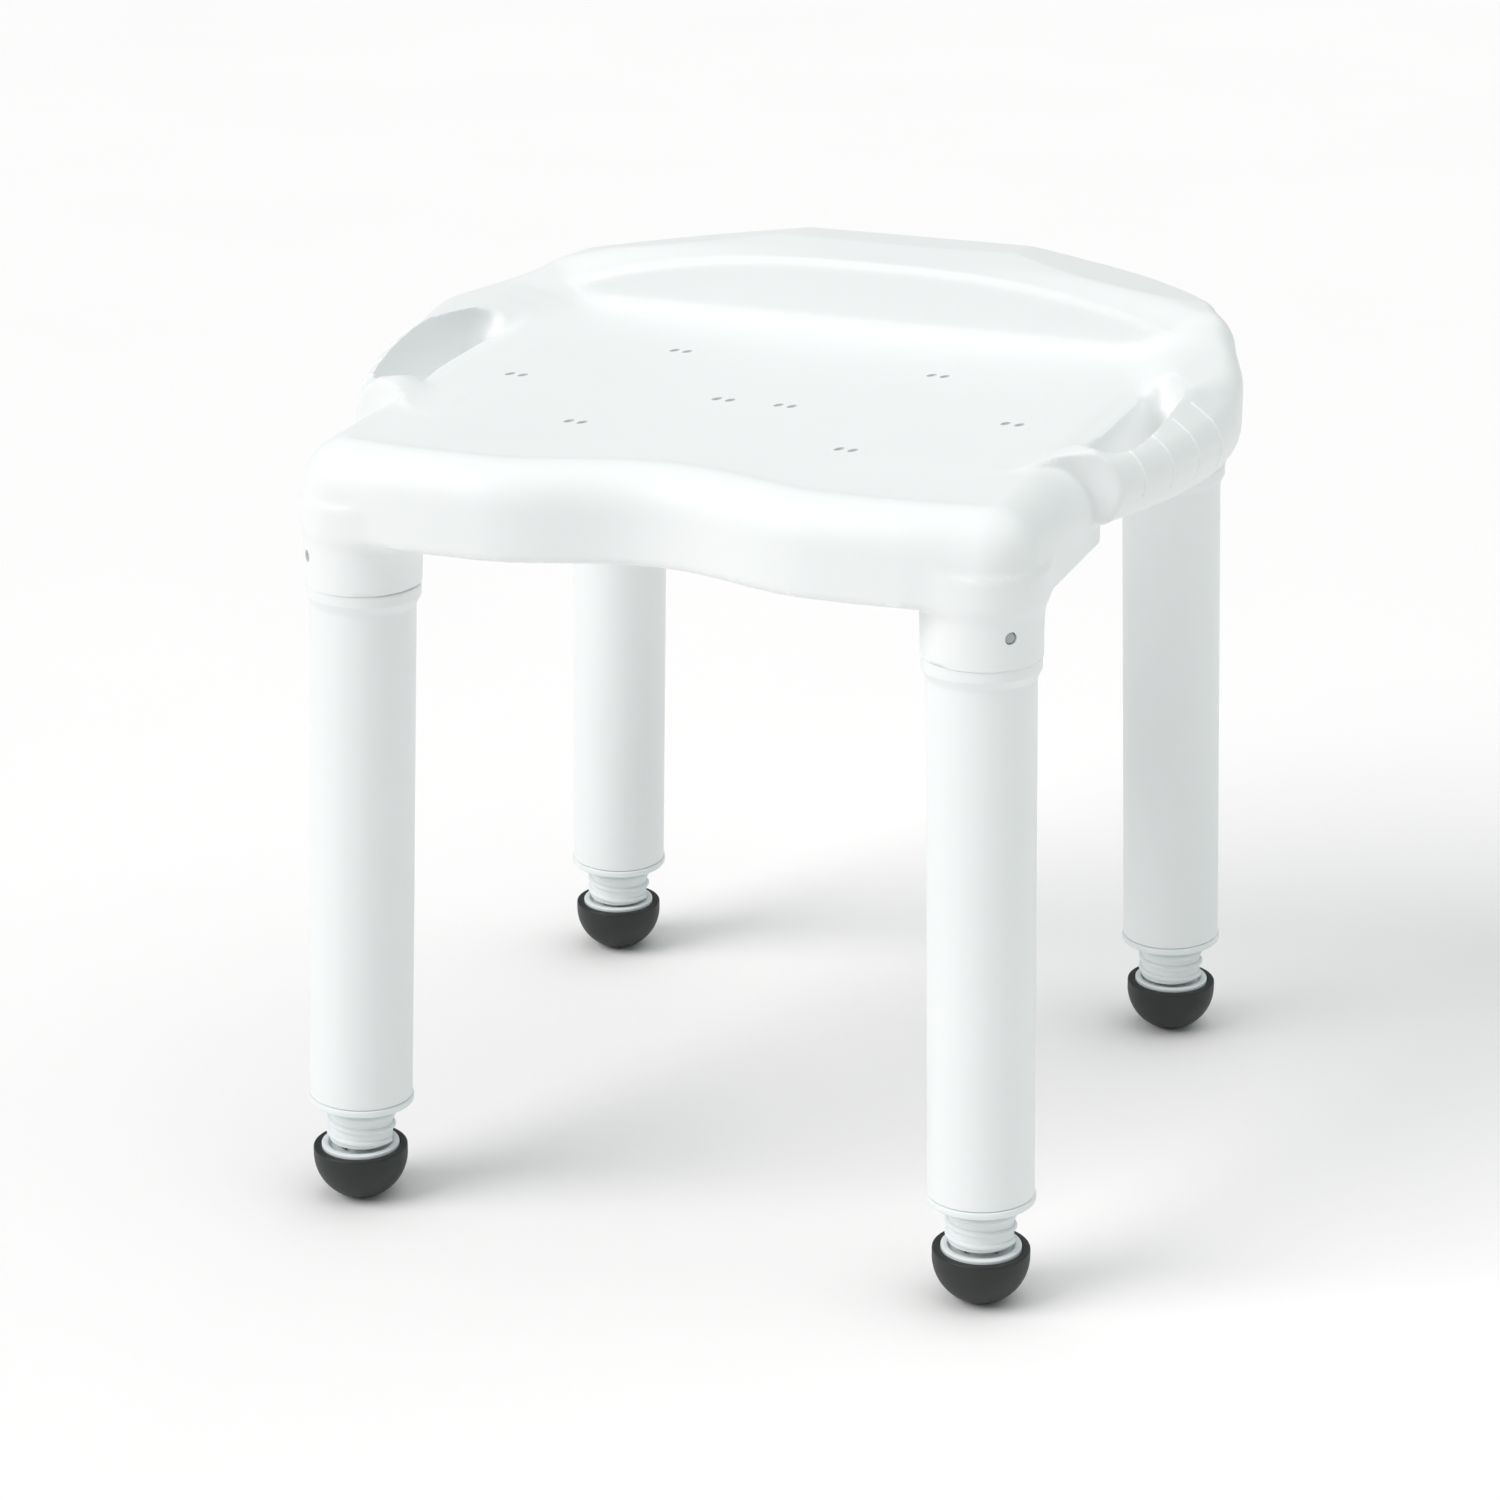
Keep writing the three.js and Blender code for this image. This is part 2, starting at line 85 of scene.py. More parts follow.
class Graph:
    def __init__(self, name):
        self.material = bpy.data.materials.new(name)
        self.material.use_nodes = True
        self.tree = self.material.node_tree
        self.tree.nodes.clear()

    def node(self, kind, settings=None, values=None, output=0):
        made = self.tree.nodes.new(kind)
        for key, value in (settings or {}).items():
            if key == "stops":
                while len(made.color_ramp.elements) < len(value):
                    made.color_ramp.elements.new(1.0)
                for element, (place, colour) in zip(made.color_ramp.elements, value):
                    element.position = place
                    element.color = colour
            else:
                setattr(made, key, value)
        for key, value in (values or {}).items():
            if isinstance(value, Sock):
                self.tree.links.new(value.out, made.inputs[key])
            else:
                made.inputs[key].default_value = value
        return Sock(self, made.outputs[output]) if len(made.outputs) else None

    def place(self):
        return self.node("ShaderNodeTexCoord", output="Object")

    def noise(self, scale, detail=2.0, roughness=0.5, stretch=None):
        where = self.place()
        if stretch:
            where = self.node("ShaderNodeMapping", values={"Vector": where, "Scale": stretch})
        return self.node("ShaderNodeTexNoise", values={
            "Vector": where, "Scale": scale, "Detail": detail, "Roughness": roughness})

    def blend(self, factor, first, second):
        made = self.tree.nodes.new("ShaderNodeMix")
        made.data_type = "RGBA"
        self.tree.links.new(factor.out, made.inputs[0])
        for slot, value in ((6, first), (7, second)):
            if isinstance(value, Sock):
                self.tree.links.new(value.out, made.inputs[slot])
            else:
                made.inputs[slot].default_value = value
        return Sock(self, made.outputs[2])

    def bump(self, height, strength, distance, under=None):
        values = {"Height": height, "Strength": strength, "Distance": distance}
        if under:
            values["Normal"] = under
        return self.node("ShaderNodeBump", values=values)

    def surface(self, values):
        shader = self.node("ShaderNodeBsdfPrincipled", values=values)
        self.node("ShaderNodeOutputMaterial", values={"Surface": shader})
        return self.material


def rgba(r, g, b):
    return (r, g, b, 1.0)


mouldedLook = {
    "seat": {"pale": rgba(0.93, 0.94, 0.94), "deep": rgba(0.895, 0.915, 0.915), "rough": 0.46,
             "grain": 1500.0, "grainDepth": 0.00006, "grainStrength": 0.32, "swirl": 9.0},
    "tube": {"pale": rgba(0.915, 0.93, 0.93), "deep": rgba(0.875, 0.90, 0.90), "rough": 0.40,
             "grain": 1900.0, "grainDepth": 0.00004, "grainStrength": 0.22, "swirl": 14.0},
    "adjuster": {"pale": rgba(0.875, 0.905, 0.91), "deep": rgba(0.82, 0.86, 0.865), "rough": 0.38,
                 "grain": 2300.0, "grainDepth": 0.00003, "grainStrength": 0.2, "swirl": 26.0},
    "grip": {"pale": rgba(0.97, 0.98, 0.98), "deep": rgba(0.95, 0.965, 0.965), "rough": 0.5,
             "grain": 2600.0, "grainDepth": 0.00002, "grainStrength": 0.1, "swirl": 30.0},
    "button": {"pale": rgba(0.50, 0.53, 0.54), "deep": rgba(0.44, 0.47, 0.48), "rough": 0.42,
               "grain": 2600.0, "grainDepth": 0.00003, "grainStrength": 0.2, "swirl": 40.0},
}


# How far each noise reaches into the tint, the gloss and the surface of every moulded plastic
mouldedMix = {"speckScale": 0.4, "cloudTone": 0.8, "speckTone": 0.45, "toneShift": 0.12,
              "cloudRough": 0.08, "grainRough": 0.1, "roughShift": 0.09,
              "waveScale": 3.5, "waveStrength": 0.12, "waveDepth": 0.0004}


def mouldedPlastic(name, look):
    # Satin moulded plastic: a soft cloud in the tint, a fine spark grain, slightly uneven gloss
    graph = Graph(name)
    mix = mouldedMix
    cloud = graph.noise(look["swirl"], 3.0, 0.55)
    grain = graph.noise(look["grain"], 2.0, 0.6)
    speck = graph.noise(look["grain"] * mix["speckScale"], 1.0, 0.5)
    tone = (cloud * mix["cloudTone"] + speck * mix["speckTone"] - mix["toneShift"]).clamped()
    colour = graph.blend(tone, look["deep"], look["pale"])
    gloss = look["rough"] - mix["roughShift"]
    rough = cloud * mix["cloudRough"] + grain * mix["grainRough"] + gloss
    fine = graph.bump(grain, look["grainStrength"], look["grainDepth"])
    swell = graph.noise(look["swirl"] * mix["waveScale"], 2.0, 0.5)
    wave = graph.bump(swell, mix["waveStrength"], mix["waveDepth"], fine)
    return graph.surface({
        "Base Color": colour, "Roughness": rough, "Normal": wave, "IOR": 1.47,
        "Subsurface Weight": 0.0, "Specular IOR Level": 0.42})


rubberLook = {"deep": rgba(0.009, 0.0105, 0.0105), "pale": rgba(0.024, 0.028, 0.028),
              "dustTone": 0.9, "grainTone": 0.3, "toneShift": 0.25, "dustRough": 0.16,
              "rough": 0.42, "grainStrength": 0.35, "grainDepth": 0.00005}


def rubberFinish():
    look = rubberLook
    graph = Graph("blackRubber")
    dust = graph.noise(55.0, 4.0, 0.6)
    grain = graph.noise(1700.0, 2.0, 0.6)
    tone = (dust * look["dustTone"] + grain * look["grainTone"] - look["toneShift"]).clamped()
    colour = graph.blend(tone, look["deep"], look["pale"])
    rough = dust * look["dustRough"] + look["rough"]
    fine = graph.bump(grain, look["grainStrength"], look["grainDepth"])
    return graph.surface({"Base Color": colour, "Roughness": rough, "Normal": fine,
                          "Specular IOR Level": 0.5})


steelLook = {"deep": rgba(0.52, 0.53, 0.54), "pale": rgba(0.66, 0.67, 0.68), "grain": 90.0,
             "stretch": (1.0, 1.0, 14.0), "streakRough": 0.2, "rough": 0.22,
             "streakStrength": 0.2, "streakDepth": 0.00003}


def steelFinish():
    look = steelLook
    graph = Graph("springSteel")
    streak = graph.noise(look["grain"], 3.0, 0.6, look["stretch"])
    colour = graph.blend(streak, look["deep"], look["pale"])
    return graph.surface({"Base Color": colour, "Metallic": 1.0,
                          "Roughness": streak * look["streakRough"] + look["rough"],
                          "Normal": graph.bump(streak, look["streakStrength"],
                                               look["streakDepth"])})


finishes = {
    "seat_plastic": mouldedPlastic("seatPlastic", mouldedLook["seat"]),
    "tube_plastic": mouldedPlastic("tubePlastic", mouldedLook["tube"]),
    "adjuster_plastic": mouldedPlastic("adjusterPlastic", mouldedLook["adjuster"]),
    "button_plastic": mouldedPlastic("buttonPlastic", mouldedLook["button"]),
    "rubber": rubberFinish(),
    "grip_line": mouldedPlastic("gripLine", mouldedLook["grip"]),
    "spring_steel": steelFinish(),
}
print("finishes made")


def meshObject(name, points, faces, slot, smoothAngle=32.0):
    # Points are in metres in the row frame; the object itself stays at the origin
    data = bpy.data.meshes.new(name)
    data.from_pydata([tuple(point) for point in points], [], [tuple(face) for face in faces])
    data.validate()
    data.materials.append(finishes[slot])
    made = bpy.data.objects.new(name, data)
    scene.collection.objects.link(made)
    smoothFaces(made, smoothAngle)
    return made


def smoothFaces(made, angle):
    data = made.data
    data.polygons.foreach_set("use_smooth", [True] * len(data.polygons))
    work = bmesh.new()
    work.from_mesh(data)
    limit = math.radians(angle)
    for edge in work.edges:
        edge.smooth = not (len(edge.link_faces) == 2 and edge.calc_face_angle(0.0) > limit)
    work.to_mesh(data)
    work.free()


def joinMeshes(name, parts, slot, smoothAngle=32.0):
    points = []
    faces = []
    for partPoints, partFaces in parts:
        base = len(points)
        points.extend(partPoints)
        faces.extend([[corner + base for corner in face] for face in partFaces])
    return meshObject(name, points, faces, slot, smoothAngle)


def rounded(profile, radii, steps=5):
    # Rounds the corners of a (radius, height) profile: radii holds {corner number: rounding}
    out = []
    for i, point in enumerate(profile):
        if i not in radii:
            out.append(point)
            continue
        here = Vector(point)
        before = Vector(profile[i - 1]) - here
        after = Vector(profile[(i + 1) % len(profile)]) - here
        half = before.angle(after) / 2
        reach = min(radii[i] / math.tan(half), before.length * 0.49, after.length * 0.49)
        start = here + before.normalized() * reach
        stop = here + after.normalized() * reach
        for step in range(steps + 1):
            t = step / steps
            out.append(tuple(start * (1 - t) ** 2 + here * 2 * t * (1 - t) + stop * t ** 2))
    return out


def turned(profile, place, sides=72):
    # A closed (radius, height) profile in mm turned round its axis; a radius of 0 closes the end
    points = []
    faces = []
    rings = []
    for radius, height in profile:
        if radius < 1e-6:
            rings.append([len(points)] * sides)
            points.append(place @ Vector((0, 0, height * mm)))
            continue
        ring = []
        for side in range(sides):
            angle = 2 * math.pi * side / sides
            ring.append(len(points))
            points.append(place @ Vector((radius * math.cos(angle) * mm,
                                          radius * math.sin(angle) * mm, height * mm)))
        rings.append(ring)
    count = len(rings)
    capped = profile[0][0] < 1e-6 and profile[-1][0] < 1e-6
    for i in range(count - 1 if capped else count):
        low = rings[i]
        high = rings[(i + 1) % count]
        for side in range(sides):
            after = (side + 1) % sides
            corners = [low[side], low[after], high[after], high[side]]
            face = [c for k, c in enumerate(corners) if c not in corners[:k]]
            if len(face) > 2:
                faces.append(face)
    return points, faces


def legMatrix(end):
    # The leg's own frame: its origin where the axis meets the floor, +Z up the leg
    hinge = joints[end + "_thread"]
    up = -Vector(hinge["axis"]).normalized()
    point = Vector(hinge["pos_m"])
    foot = point - up * (point.z / up.z)
    turn = Vector((0, 0, 1)).rotation_difference(up)
    return Matrix.Translation(foot) @ turn.to_matrix().to_4x4()


legFrames = {end: legMatrix(end) for end in ends}
legsMiddleY = sum(legFrames[end].translation.y for end in ends) / 4 / mm
footX = abs(legFrames["front_right"].translation.x) / mm
footY = (legFrames["rear_right"].translation.y - legFrames["front_right"].translation.y) / 2 / mm
legLean = math.tan(math.acos(min(1.0, (legFrames["front_right"].to_3x3() @ Vector((0, 0, 1))).z)))
leanEach = legLean / math.sqrt(2)


# Millimetres; a pair is where a smooth change starts and how far it reaches
seatSizes = {
    "surfaceZ": 431.0, "rimZ": 431.8, "rimEdge": (-29.0, 8.0), "skirtZ": 382.0, "skirtWidth": 28.0,
    "edgeRound": 23.0, "cornerRound": 28.0, "cornerAcross": (140.0, 40.0),
    "cornerAlong": (-40.0, -40.0), "skirtRound": 3.5, "edgeTop": 434.0, "frontReach": 214.0,
    "scallopDepth": 21.0, "scallopHalf": 92.0, "sideHalf": 200.0, "frontCornerRadius": 31.6,
    "rearCornerRadius": 34.2, "besideDrop": 4.2, "besideAcross": (172.5, 18.0),
    "besideFront": (-82.0, 30.0), "besideRear": (30.0, 34.0), "gridStep": 2.6,
    "low": (-247.0, -221.0, 349.0), "high": (247.0, 238.0, 470.0),
    "leastXY": (-242.9, -217.0), "mostXY": (242.9, 232.95),
}
handleSizes = {
    "low": 397.0, "innerX": 150.0, "riseZ": 430.0, "gripZ": 434.6, "gripEnd": 20.0,
    "gripAlong": (-114.0, 66.0), "shoulderZ": 441.0, "climb": (96.0, 60.0), "rear": (24.0, 54.0),
    "frontRound": 2.2, "topRound": 1.6, "topRoundRear": 11.0, "lowRise": 11.0, "lowRound": 4.0,
    "lowRoundRear": 24.0, "merge": 3.0,
}
lipSizes = {
    "faceY": 127.0, "faceLean": 0.16, "brow": (126.0, 36.0), "ridgeZ": 465.0, "ridgeY": 181.0,
    "ridgeFall": 0.13, "facetZ": 464.2, "facetX": 78.0, "facetY": 180.0, "facetFallX": 0.15,
    "facetFallY": 0.142, "crestScale": 0.98, "round": 5.0, "planRound": 3.0, "planRoundMore": 5.0,
    "planAcross": (120.0, 60.0), "low": 405.0, "merge": 5.0,
}
socketSizes = {
    "radius": 31.0, "widerBy": 0.5, "wider": (362.0, 20.0), "top": 398.0, "end": 353.3,
    "endRound": 0.8, "flare": 7.0, "boreRadius": 26.3, "boreTop": 395.0, "bossRadius": 34.0,
}
hollowSizes = {
    "panelZ": 400.0, "panelRound": 6.0, "merge": 4.0, "widen": (416.0, 22.0),
    "holeRound": 1.2, "holeRoundInner": 4.5, "holeInner": (196.0, 12.0),
    "underX": 188.5, "underTop": 398.0, "underMiddleY": -12.0, "underHalf": 64.0, "underRound": 1.5,
}
# Across the seat: height of the lip's crest, and of the top of its concave face
crestLine = np.array([(0, 464.8), (30, 464.7), (60, 464.2), (90, 463.0), (120, 460.6), (150, 456.5),
                      (175, 451.5), (190, 447.5), (205, 443.5), (225, 441.0), (250, 440.0)])
faceLine = np.array([(0, 464.8), (30, 464.6), (60, 463.4), (90, 460.6), (120, 456.0), (150, 449.5),
                     (170, 443.5), (185, 438.0), (198, 433.0), (212, 430.0), (250, 428.0)])
# Along the seat: where each handle starts to rise out of the sitting surface, and over what width
riseStart = np.array([(-118, 160), (-104, 160), (-92, 162), (-84, 164), (-76, 170), (-66, 182),
                      (-52, 195), (20, 196), (36, 192), (54, 180), (76, 164), (100, 152), (127, 150)])
riseWidth = np.array([(-118, 22), (-80, 32), (-66, 22), (-52, 8), (26, 8), (44, 18), (62, 32),
                      (84, 46), (110, 58)])
# Up the handle: how far its side stands in from its widest outline
handleInsets = np.array([(394, 10.0), (397, 7.5), (401, 4.5), (406, 2.0), (413, 0.0), (420, 0.6),
                         (426, 3.2), (430, 6.2), (433, 10.0), (437, 15.5), (441, 21.0),
                         (446, 30.0)])


def spline(points, steps=8):
    # A closed smooth curve through the points
    points = [np.array(point, float) for point in points]
    out = []
    count = len(points)
    for i in range(count):
        a, b, c, d = (points[(i + k - 1) % count] for k in range(4))
        for step in range(steps):
            t = step / steps
            out.append(0.5 * (2 * b + (c - a) * t + (2 * a - 5 * b + 4 * c - d) * t * t
                              + (3 * b - a - 3 * c + d) * t ** 3))
    return np.array(out)


def arc(x, y, radius, start, stop, steps):
    angles = np.radians(np.linspace(start, stop, steps + 1))
    return [(x + radius * math.cos(a), y + radius * math.sin(a)) for a in angles]


def closeHalf(half):
    half = [tuple(point) for point in half]
    return np.array(half + [(-x, y) for x, y in reversed(half) if x > 1e-6])


def legAt(height, rear):
    x = footX - leanEach * height
    y = footY - leanEach * height
    return x, (y if rear else -y)


def trayOutline():
    s = seatSizes
    frontX, frontY = legAt(hollowSizes["panelZ"], False)
    rearX, rearY = legAt(hollowSizes["panelZ"], True)
    half = []
    steps = 18
    for i in range(steps + 1):
        dip = 0.5 + 0.5 * math.cos(math.pi * i / steps)
        half.append((s["scallopHalf"] * i / steps, -s["frontReach"] + s["scallopDepth"] * dip))
    half += [(115, -s["frontReach"] + 0.1), (138, -s["frontReach"] + 1.2)]
    half += arc(frontX, frontY, s["frontCornerRadius"], -75, -5, 12)
    half += [(s["sideHalf"], -120), (s["sideHalf"] + 0.5, 0), (s["sideHalf"] + 1.5, 110)]
    half += arc(rearX, rearY, s["rearCornerRadius"], 2, 62, 8)
    half += [(165, 216.5), (144, 224), (118, 229), (85, 232), (40, 232.8), (0, 232.8)]
    return closeHalf(half)


def sideOutline():
    # Outer side of the handle and the shoulder behind it
    return np.vstack([[(150, -230), (196, -135)], spline([
        (208, -108), (216, -86), (226, -60), (234, -34), (239.4, -8), (242.2, 16), (241.6, 40),
        (238, 64), (232, 88), (225, 110), (216, 136), (204, 168), (180, 178), (150, 178),
        (140, 40), (160, -140)], 6)[:6 * 12], [(150, 178), (140, -100)]])


def frontOutline():
    # Everything behind the handle's front face
    curve = spline([(150, -144), (165, -126), (174, -116), (181, -106), (189, -98.5), (198, -94),
                    (207, -91), (216, -88.5), (230, -84), (262, -74), (270, 0), (200, 300),
                    (140, 100)], 6)
    return np.vstack([curve[6:6 * 9], [(262, -74), (262, 240), (120, 240), (120, -144)]])


def lipOutline():
    half = [(0, 232.9), (60, 232.9), (85, 232.4), (105, 231), (125, 227.8), (145, 222), (163, 213),
            (178, 201), (190, 186), (200, 168), (209, 147), (217, 122), (224, 98), (226, 60)]
    return closeHalf(half)[::-1]


def openOutline():
    # The hand hole at the top
    return spline([(187.5, -66), (193, -80), (202, -85.5), (210, -78), (215.6, -63), (218.4, -42),
                   (219.6, -18), (219.6, 4), (217, 25), (211, 42), (203, 52), (195, 56),
                   (190.5, 48), (191, 20), (191.5, -10), (190.8, -40)], 5)


def holeOutline():
    # The same hole lower down
    return spline([(189, -54), (193, -68), (201, -74), (208, -67), (211.5, -50), (213.2, -22),
                   (213.2, 4), (211, 26), (206, 40), (198, 46), (191.5, 41), (189.5, 28),
                   (189.3, 0), (189, -30)], 5)


def polygonDistance(px, py, outline):
    # Signed distance to a closed outline, negative inside
    best = np.full(px.shape, 1e9)
    inside = np.zeros(px.shape, bool)
    count = len(outline)
    for i in range(count):
        ax, ay = outline[i]
        bx, by = outline[(i + 1) % count]
        ex, ey = bx - ax, by - ay
        length = ex * ex + ey * ey
        if length < 1e-12:
            continue
        t = np.clip(((px - ax) * ex + (py - ay) * ey) / length, 0, 1)
        best = np.minimum(best, (px - ax - t * ex) ** 2 + (py - ay - t * ey) ** 2)
        if ay != by:
            crosses = ((ay > py) != (by > py)) & (px < ex * (py - ay) / ey + ax)
            inside ^= crosses
    return np.where(inside, -1, 1) * np.sqrt(best)


class PlanField:
    # A signed distance in plan, kept on a 1 mm grid and read between its points
    low = (-252.0, -226.0)
    size = (505, 466)

    def __init__(self, outline, soften=0):
        xs = self.low[0] + np.arange(self.size[0])
        ys = self.low[1] + np.arange(self.size[1])
        px, py = np.meshgrid(xs, ys, indexing="ij")
        self.grid = polygonDistance(px, py, outline)
        for _ in range(soften):
            padded = np.pad(self.grid, 1, mode="edge")
            self.grid = (padded[1:-1, 1:-1] * 4 + padded[:-2, 1:-1] + padded[2:, 1:-1]
                         + padded[1:-1, :-2] + padded[1:-1, 2:]) / 8

    def at(self, x, y):
        u = np.clip(x - self.low[0], 0, self.size[0] - 1.001)
        v = np.clip(y - self.low[1], 0, self.size[1] - 1.001)
        i = u.astype(int)
        j = v.astype(int)
        u = u - i
        v = v - j
        g = self.grid
        return ((g[i, j] * (1 - u) + g[i + 1, j] * u) * (1 - v)
                + (g[i, j + 1] * (1 - u) + g[i + 1, j + 1] * u) * v)


def roundJoin(a, b, radius):
    # Both: the part inside a and b, with its shared edge rounded
    return np.minimum(np.maximum(a, b), -radius) + np.hypot(
        np.maximum(a + radius, 0), np.maximum(b + radius, 0))


def fillet(a, b, radius):
    # Either: the union of a and b with a rounded inner corner
    return -roundJoin(-a, -b, radius)


def smoothMin(a, b, width):
    h = np.clip(0.5 + 0.5 * (b - a) / width, 0, 1)
    return b * (1 - h) + a * h - width * h * (1 - h)


def smoothMax(a, b, width):
    return -smoothMin(-a, -b, width)


def smoothStep(t):
    t = np.clip(t, 0, 1)
    return t * t * (3 - 2 * t)


def ramp(value, change):
    # From 0 to 1 over a (start, length) pair
    start, length = change
    return smoothStep((value - start) / length)


def along(line, value):
    # A height or width read from a table of points
    return np.interp(value, line[:, 0], line[:, 1])


def fromLeg(ax, y, z, way):
    # Distance from the axis of the front (-1) or rear (1) leg
    return np.hypot(ax - (footX - leanEach * z), y - (footY - leanEach * z) * way)


seatFields = {
    "tray": PlanField(trayOutline(), 3), "side": PlanField(sideOutline(), 1),
    "front": PlanField(frontOutline(), 1), "lip": PlanField(lipOutline(), 2),
    "open": PlanField(openOutline(), 1), "hole": PlanField(holeOutline(), 1),
}


def bodyField(ax, y, z, tray, top):
    # The tray with its rounded upper edge, fuller at the front corners
    s = seatSizes
    corner = ramp(ax, s["cornerAcross"]) * ramp(y, s["cornerAlong"])
    edge = s["edgeRound"] + (s["cornerRound"] - s["edgeRound"]) * corner
    body = roundJoin(tray, z - np.minimum(top, s["edgeTop"]), edge)
    return roundJoin(body, s["skirtZ"] - z, s["skirtRound"])


def surfaceTop(ax, y, tray):
    # Sitting surface with its rim and the slope down into each hand hole
    s = seatSizes
    rim = ramp(tray, s["rimEdge"])
    beside = ramp(y, s["besideFront"]) * (1 - ramp(y, s["besideRear"]))
    drop = s["besideDrop"] * ramp(ax, s["besideAcross"]) * beside
    return s["surfaceZ"] + (s["rimZ"] - s["surfaceZ"]) * rim - drop


def handleField(ax, y, z):
    # Highest along the hole, a bevel outside, a flat front face; it runs back into a broad shoulder
    h = handleSizes
    crest = along(crestLine, ax)
    climb = ramp(y, h["climb"])
    shoulder = h["shoulderZ"] + (np.maximum(crest, h["shoulderZ"]) - h["shoulderZ"]) * climb
    grip = h["gripZ"] + (h["shoulderZ"] - h["gripZ"]) * ramp(y, h["gripAlong"])
    risen = ramp(ax, (along(riseStart, y), along(riseWidth, y)))
    top = h["riseZ"] + (np.where(y < h["gripEnd"], grip, shoulder) - h["riseZ"]) * risen
    rear = ramp(y, h["rear"])
    side = seatFields["side"].at(ax, y) + along(handleInsets, z) * (1 - rear)
    handle = roundJoin(side, seatFields["front"].at(ax, y), h["frontRound"])
    handle = roundJoin(handle, z - top, h["topRound"] + h["topRoundRear"] * rear)
    low = h["low"] - h["lowRise"] * rear
    handle = roundJoin(handle, low - z, h["lowRound"] + h["lowRoundRear"] * rear)
    return np.maximum(handle, h["innerX"] - ax)


def lipField(x, ax, y, z):
    # An upright face, an arched crest, and three flat facets behind it
    p = lipSizes
    brow = along(faceLine, ax)
    crest = brow + (along(crestLine, ax) - brow) * ramp(y, p["brow"])
    crest = np.minimum(crest, p["ridgeZ"] - p["ridgeFall"] * (y - p["ridgeY"]))
    facet = p["facetFallX"] * (ax - p["facetX"]) + p["facetFallY"] * (y - p["facetY"])
    crest = np.minimum(crest, p["facetZ"] - facet)
    face = (p["faceY"] + p["faceLean"] * (z - seatSizes["surfaceZ"])) - y
    lip = roundJoin(face, (z - crest) * p["crestScale"], p["round"])
    planRound = p["planRound"] + p["planRoundMore"] * ramp(ax, p["planAcross"])
    lip = roundJoin(lip, seatFields["lip"].at(x, y), planRound)
    return np.maximum(lip, p["low"] - z)


def seatField(points):
    # Signed distance of the moulding at points in mm, counted from the middle of the legs
    x, y, z = points[:, 0], points[:, 1], points[:, 2]
    ax = np.abs(x)
    tray = seatFields["tray"].at(x, y)
    body = bodyField(ax, y, z, tray, surfaceTop(ax, y, tray))
    body = smoothMin(body, handleField(ax, y, z), handleSizes["merge"])
    body = smoothMin(body, lipField(x, ax, y, z), lipSizes["merge"])

    # Leg sockets, flared into the body
    k = socketSizes
    for way in (-1, 1):
        outer = k["radius"] + k["widerBy"] * ramp(z, k["wider"])
        socket = np.maximum(fromLeg(ax, y, z, way) - outer, z - k["top"])
        socket = roundJoin(socket, k["end"] - z, k["endRound"])
        body = fillet(body, socket, k["flare"])

    # Underside recess, hand holes, the cut under each handle, leg bores
    c = hollowSizes
    recess = roundJoin(tray + seatSizes["skirtWidth"], z - c["panelZ"], c["panelRound"])
    for way in (-1, 1):
        recess = np.maximum(recess, k["bossRadius"] - fromLeg(ax, y, z, way))
    body = smoothMax(body, -recess, c["merge"])
    lowHole = seatFields["hole"].at(ax, y)
    hole = lowHole + (seatFields["open"].at(ax, y) - lowHole) * ramp(z, c["widen"])
    inner = 1 - ramp(ax, c["holeInner"])
    body = smoothMax(body, -hole, c["holeRound"] + c["holeRoundInner"] * inner)
    under = np.maximum(c["underX"] - ax, z - c["underTop"])
    under = np.maximum(under, np.abs(y - c["underMiddleY"]) - c["underHalf"])
    body = smoothMax(body, -under, c["underRound"])
    for way in (-1, 1):
        bore = np.maximum(fromLeg(ax, y, z, way) - k["boreRadius"], z - k["boreTop"])
        body = np.maximum(body, -bore)
    return body


def fieldSlope(field, p, reach=0.15):
    slope = np.empty_like(p)
    for k in range(3):
        step = np.zeros(3)
        step[k] = reach
        slope[:, k] = (field(p + step) - field(p - step)) / (2 * reach)
    return slope


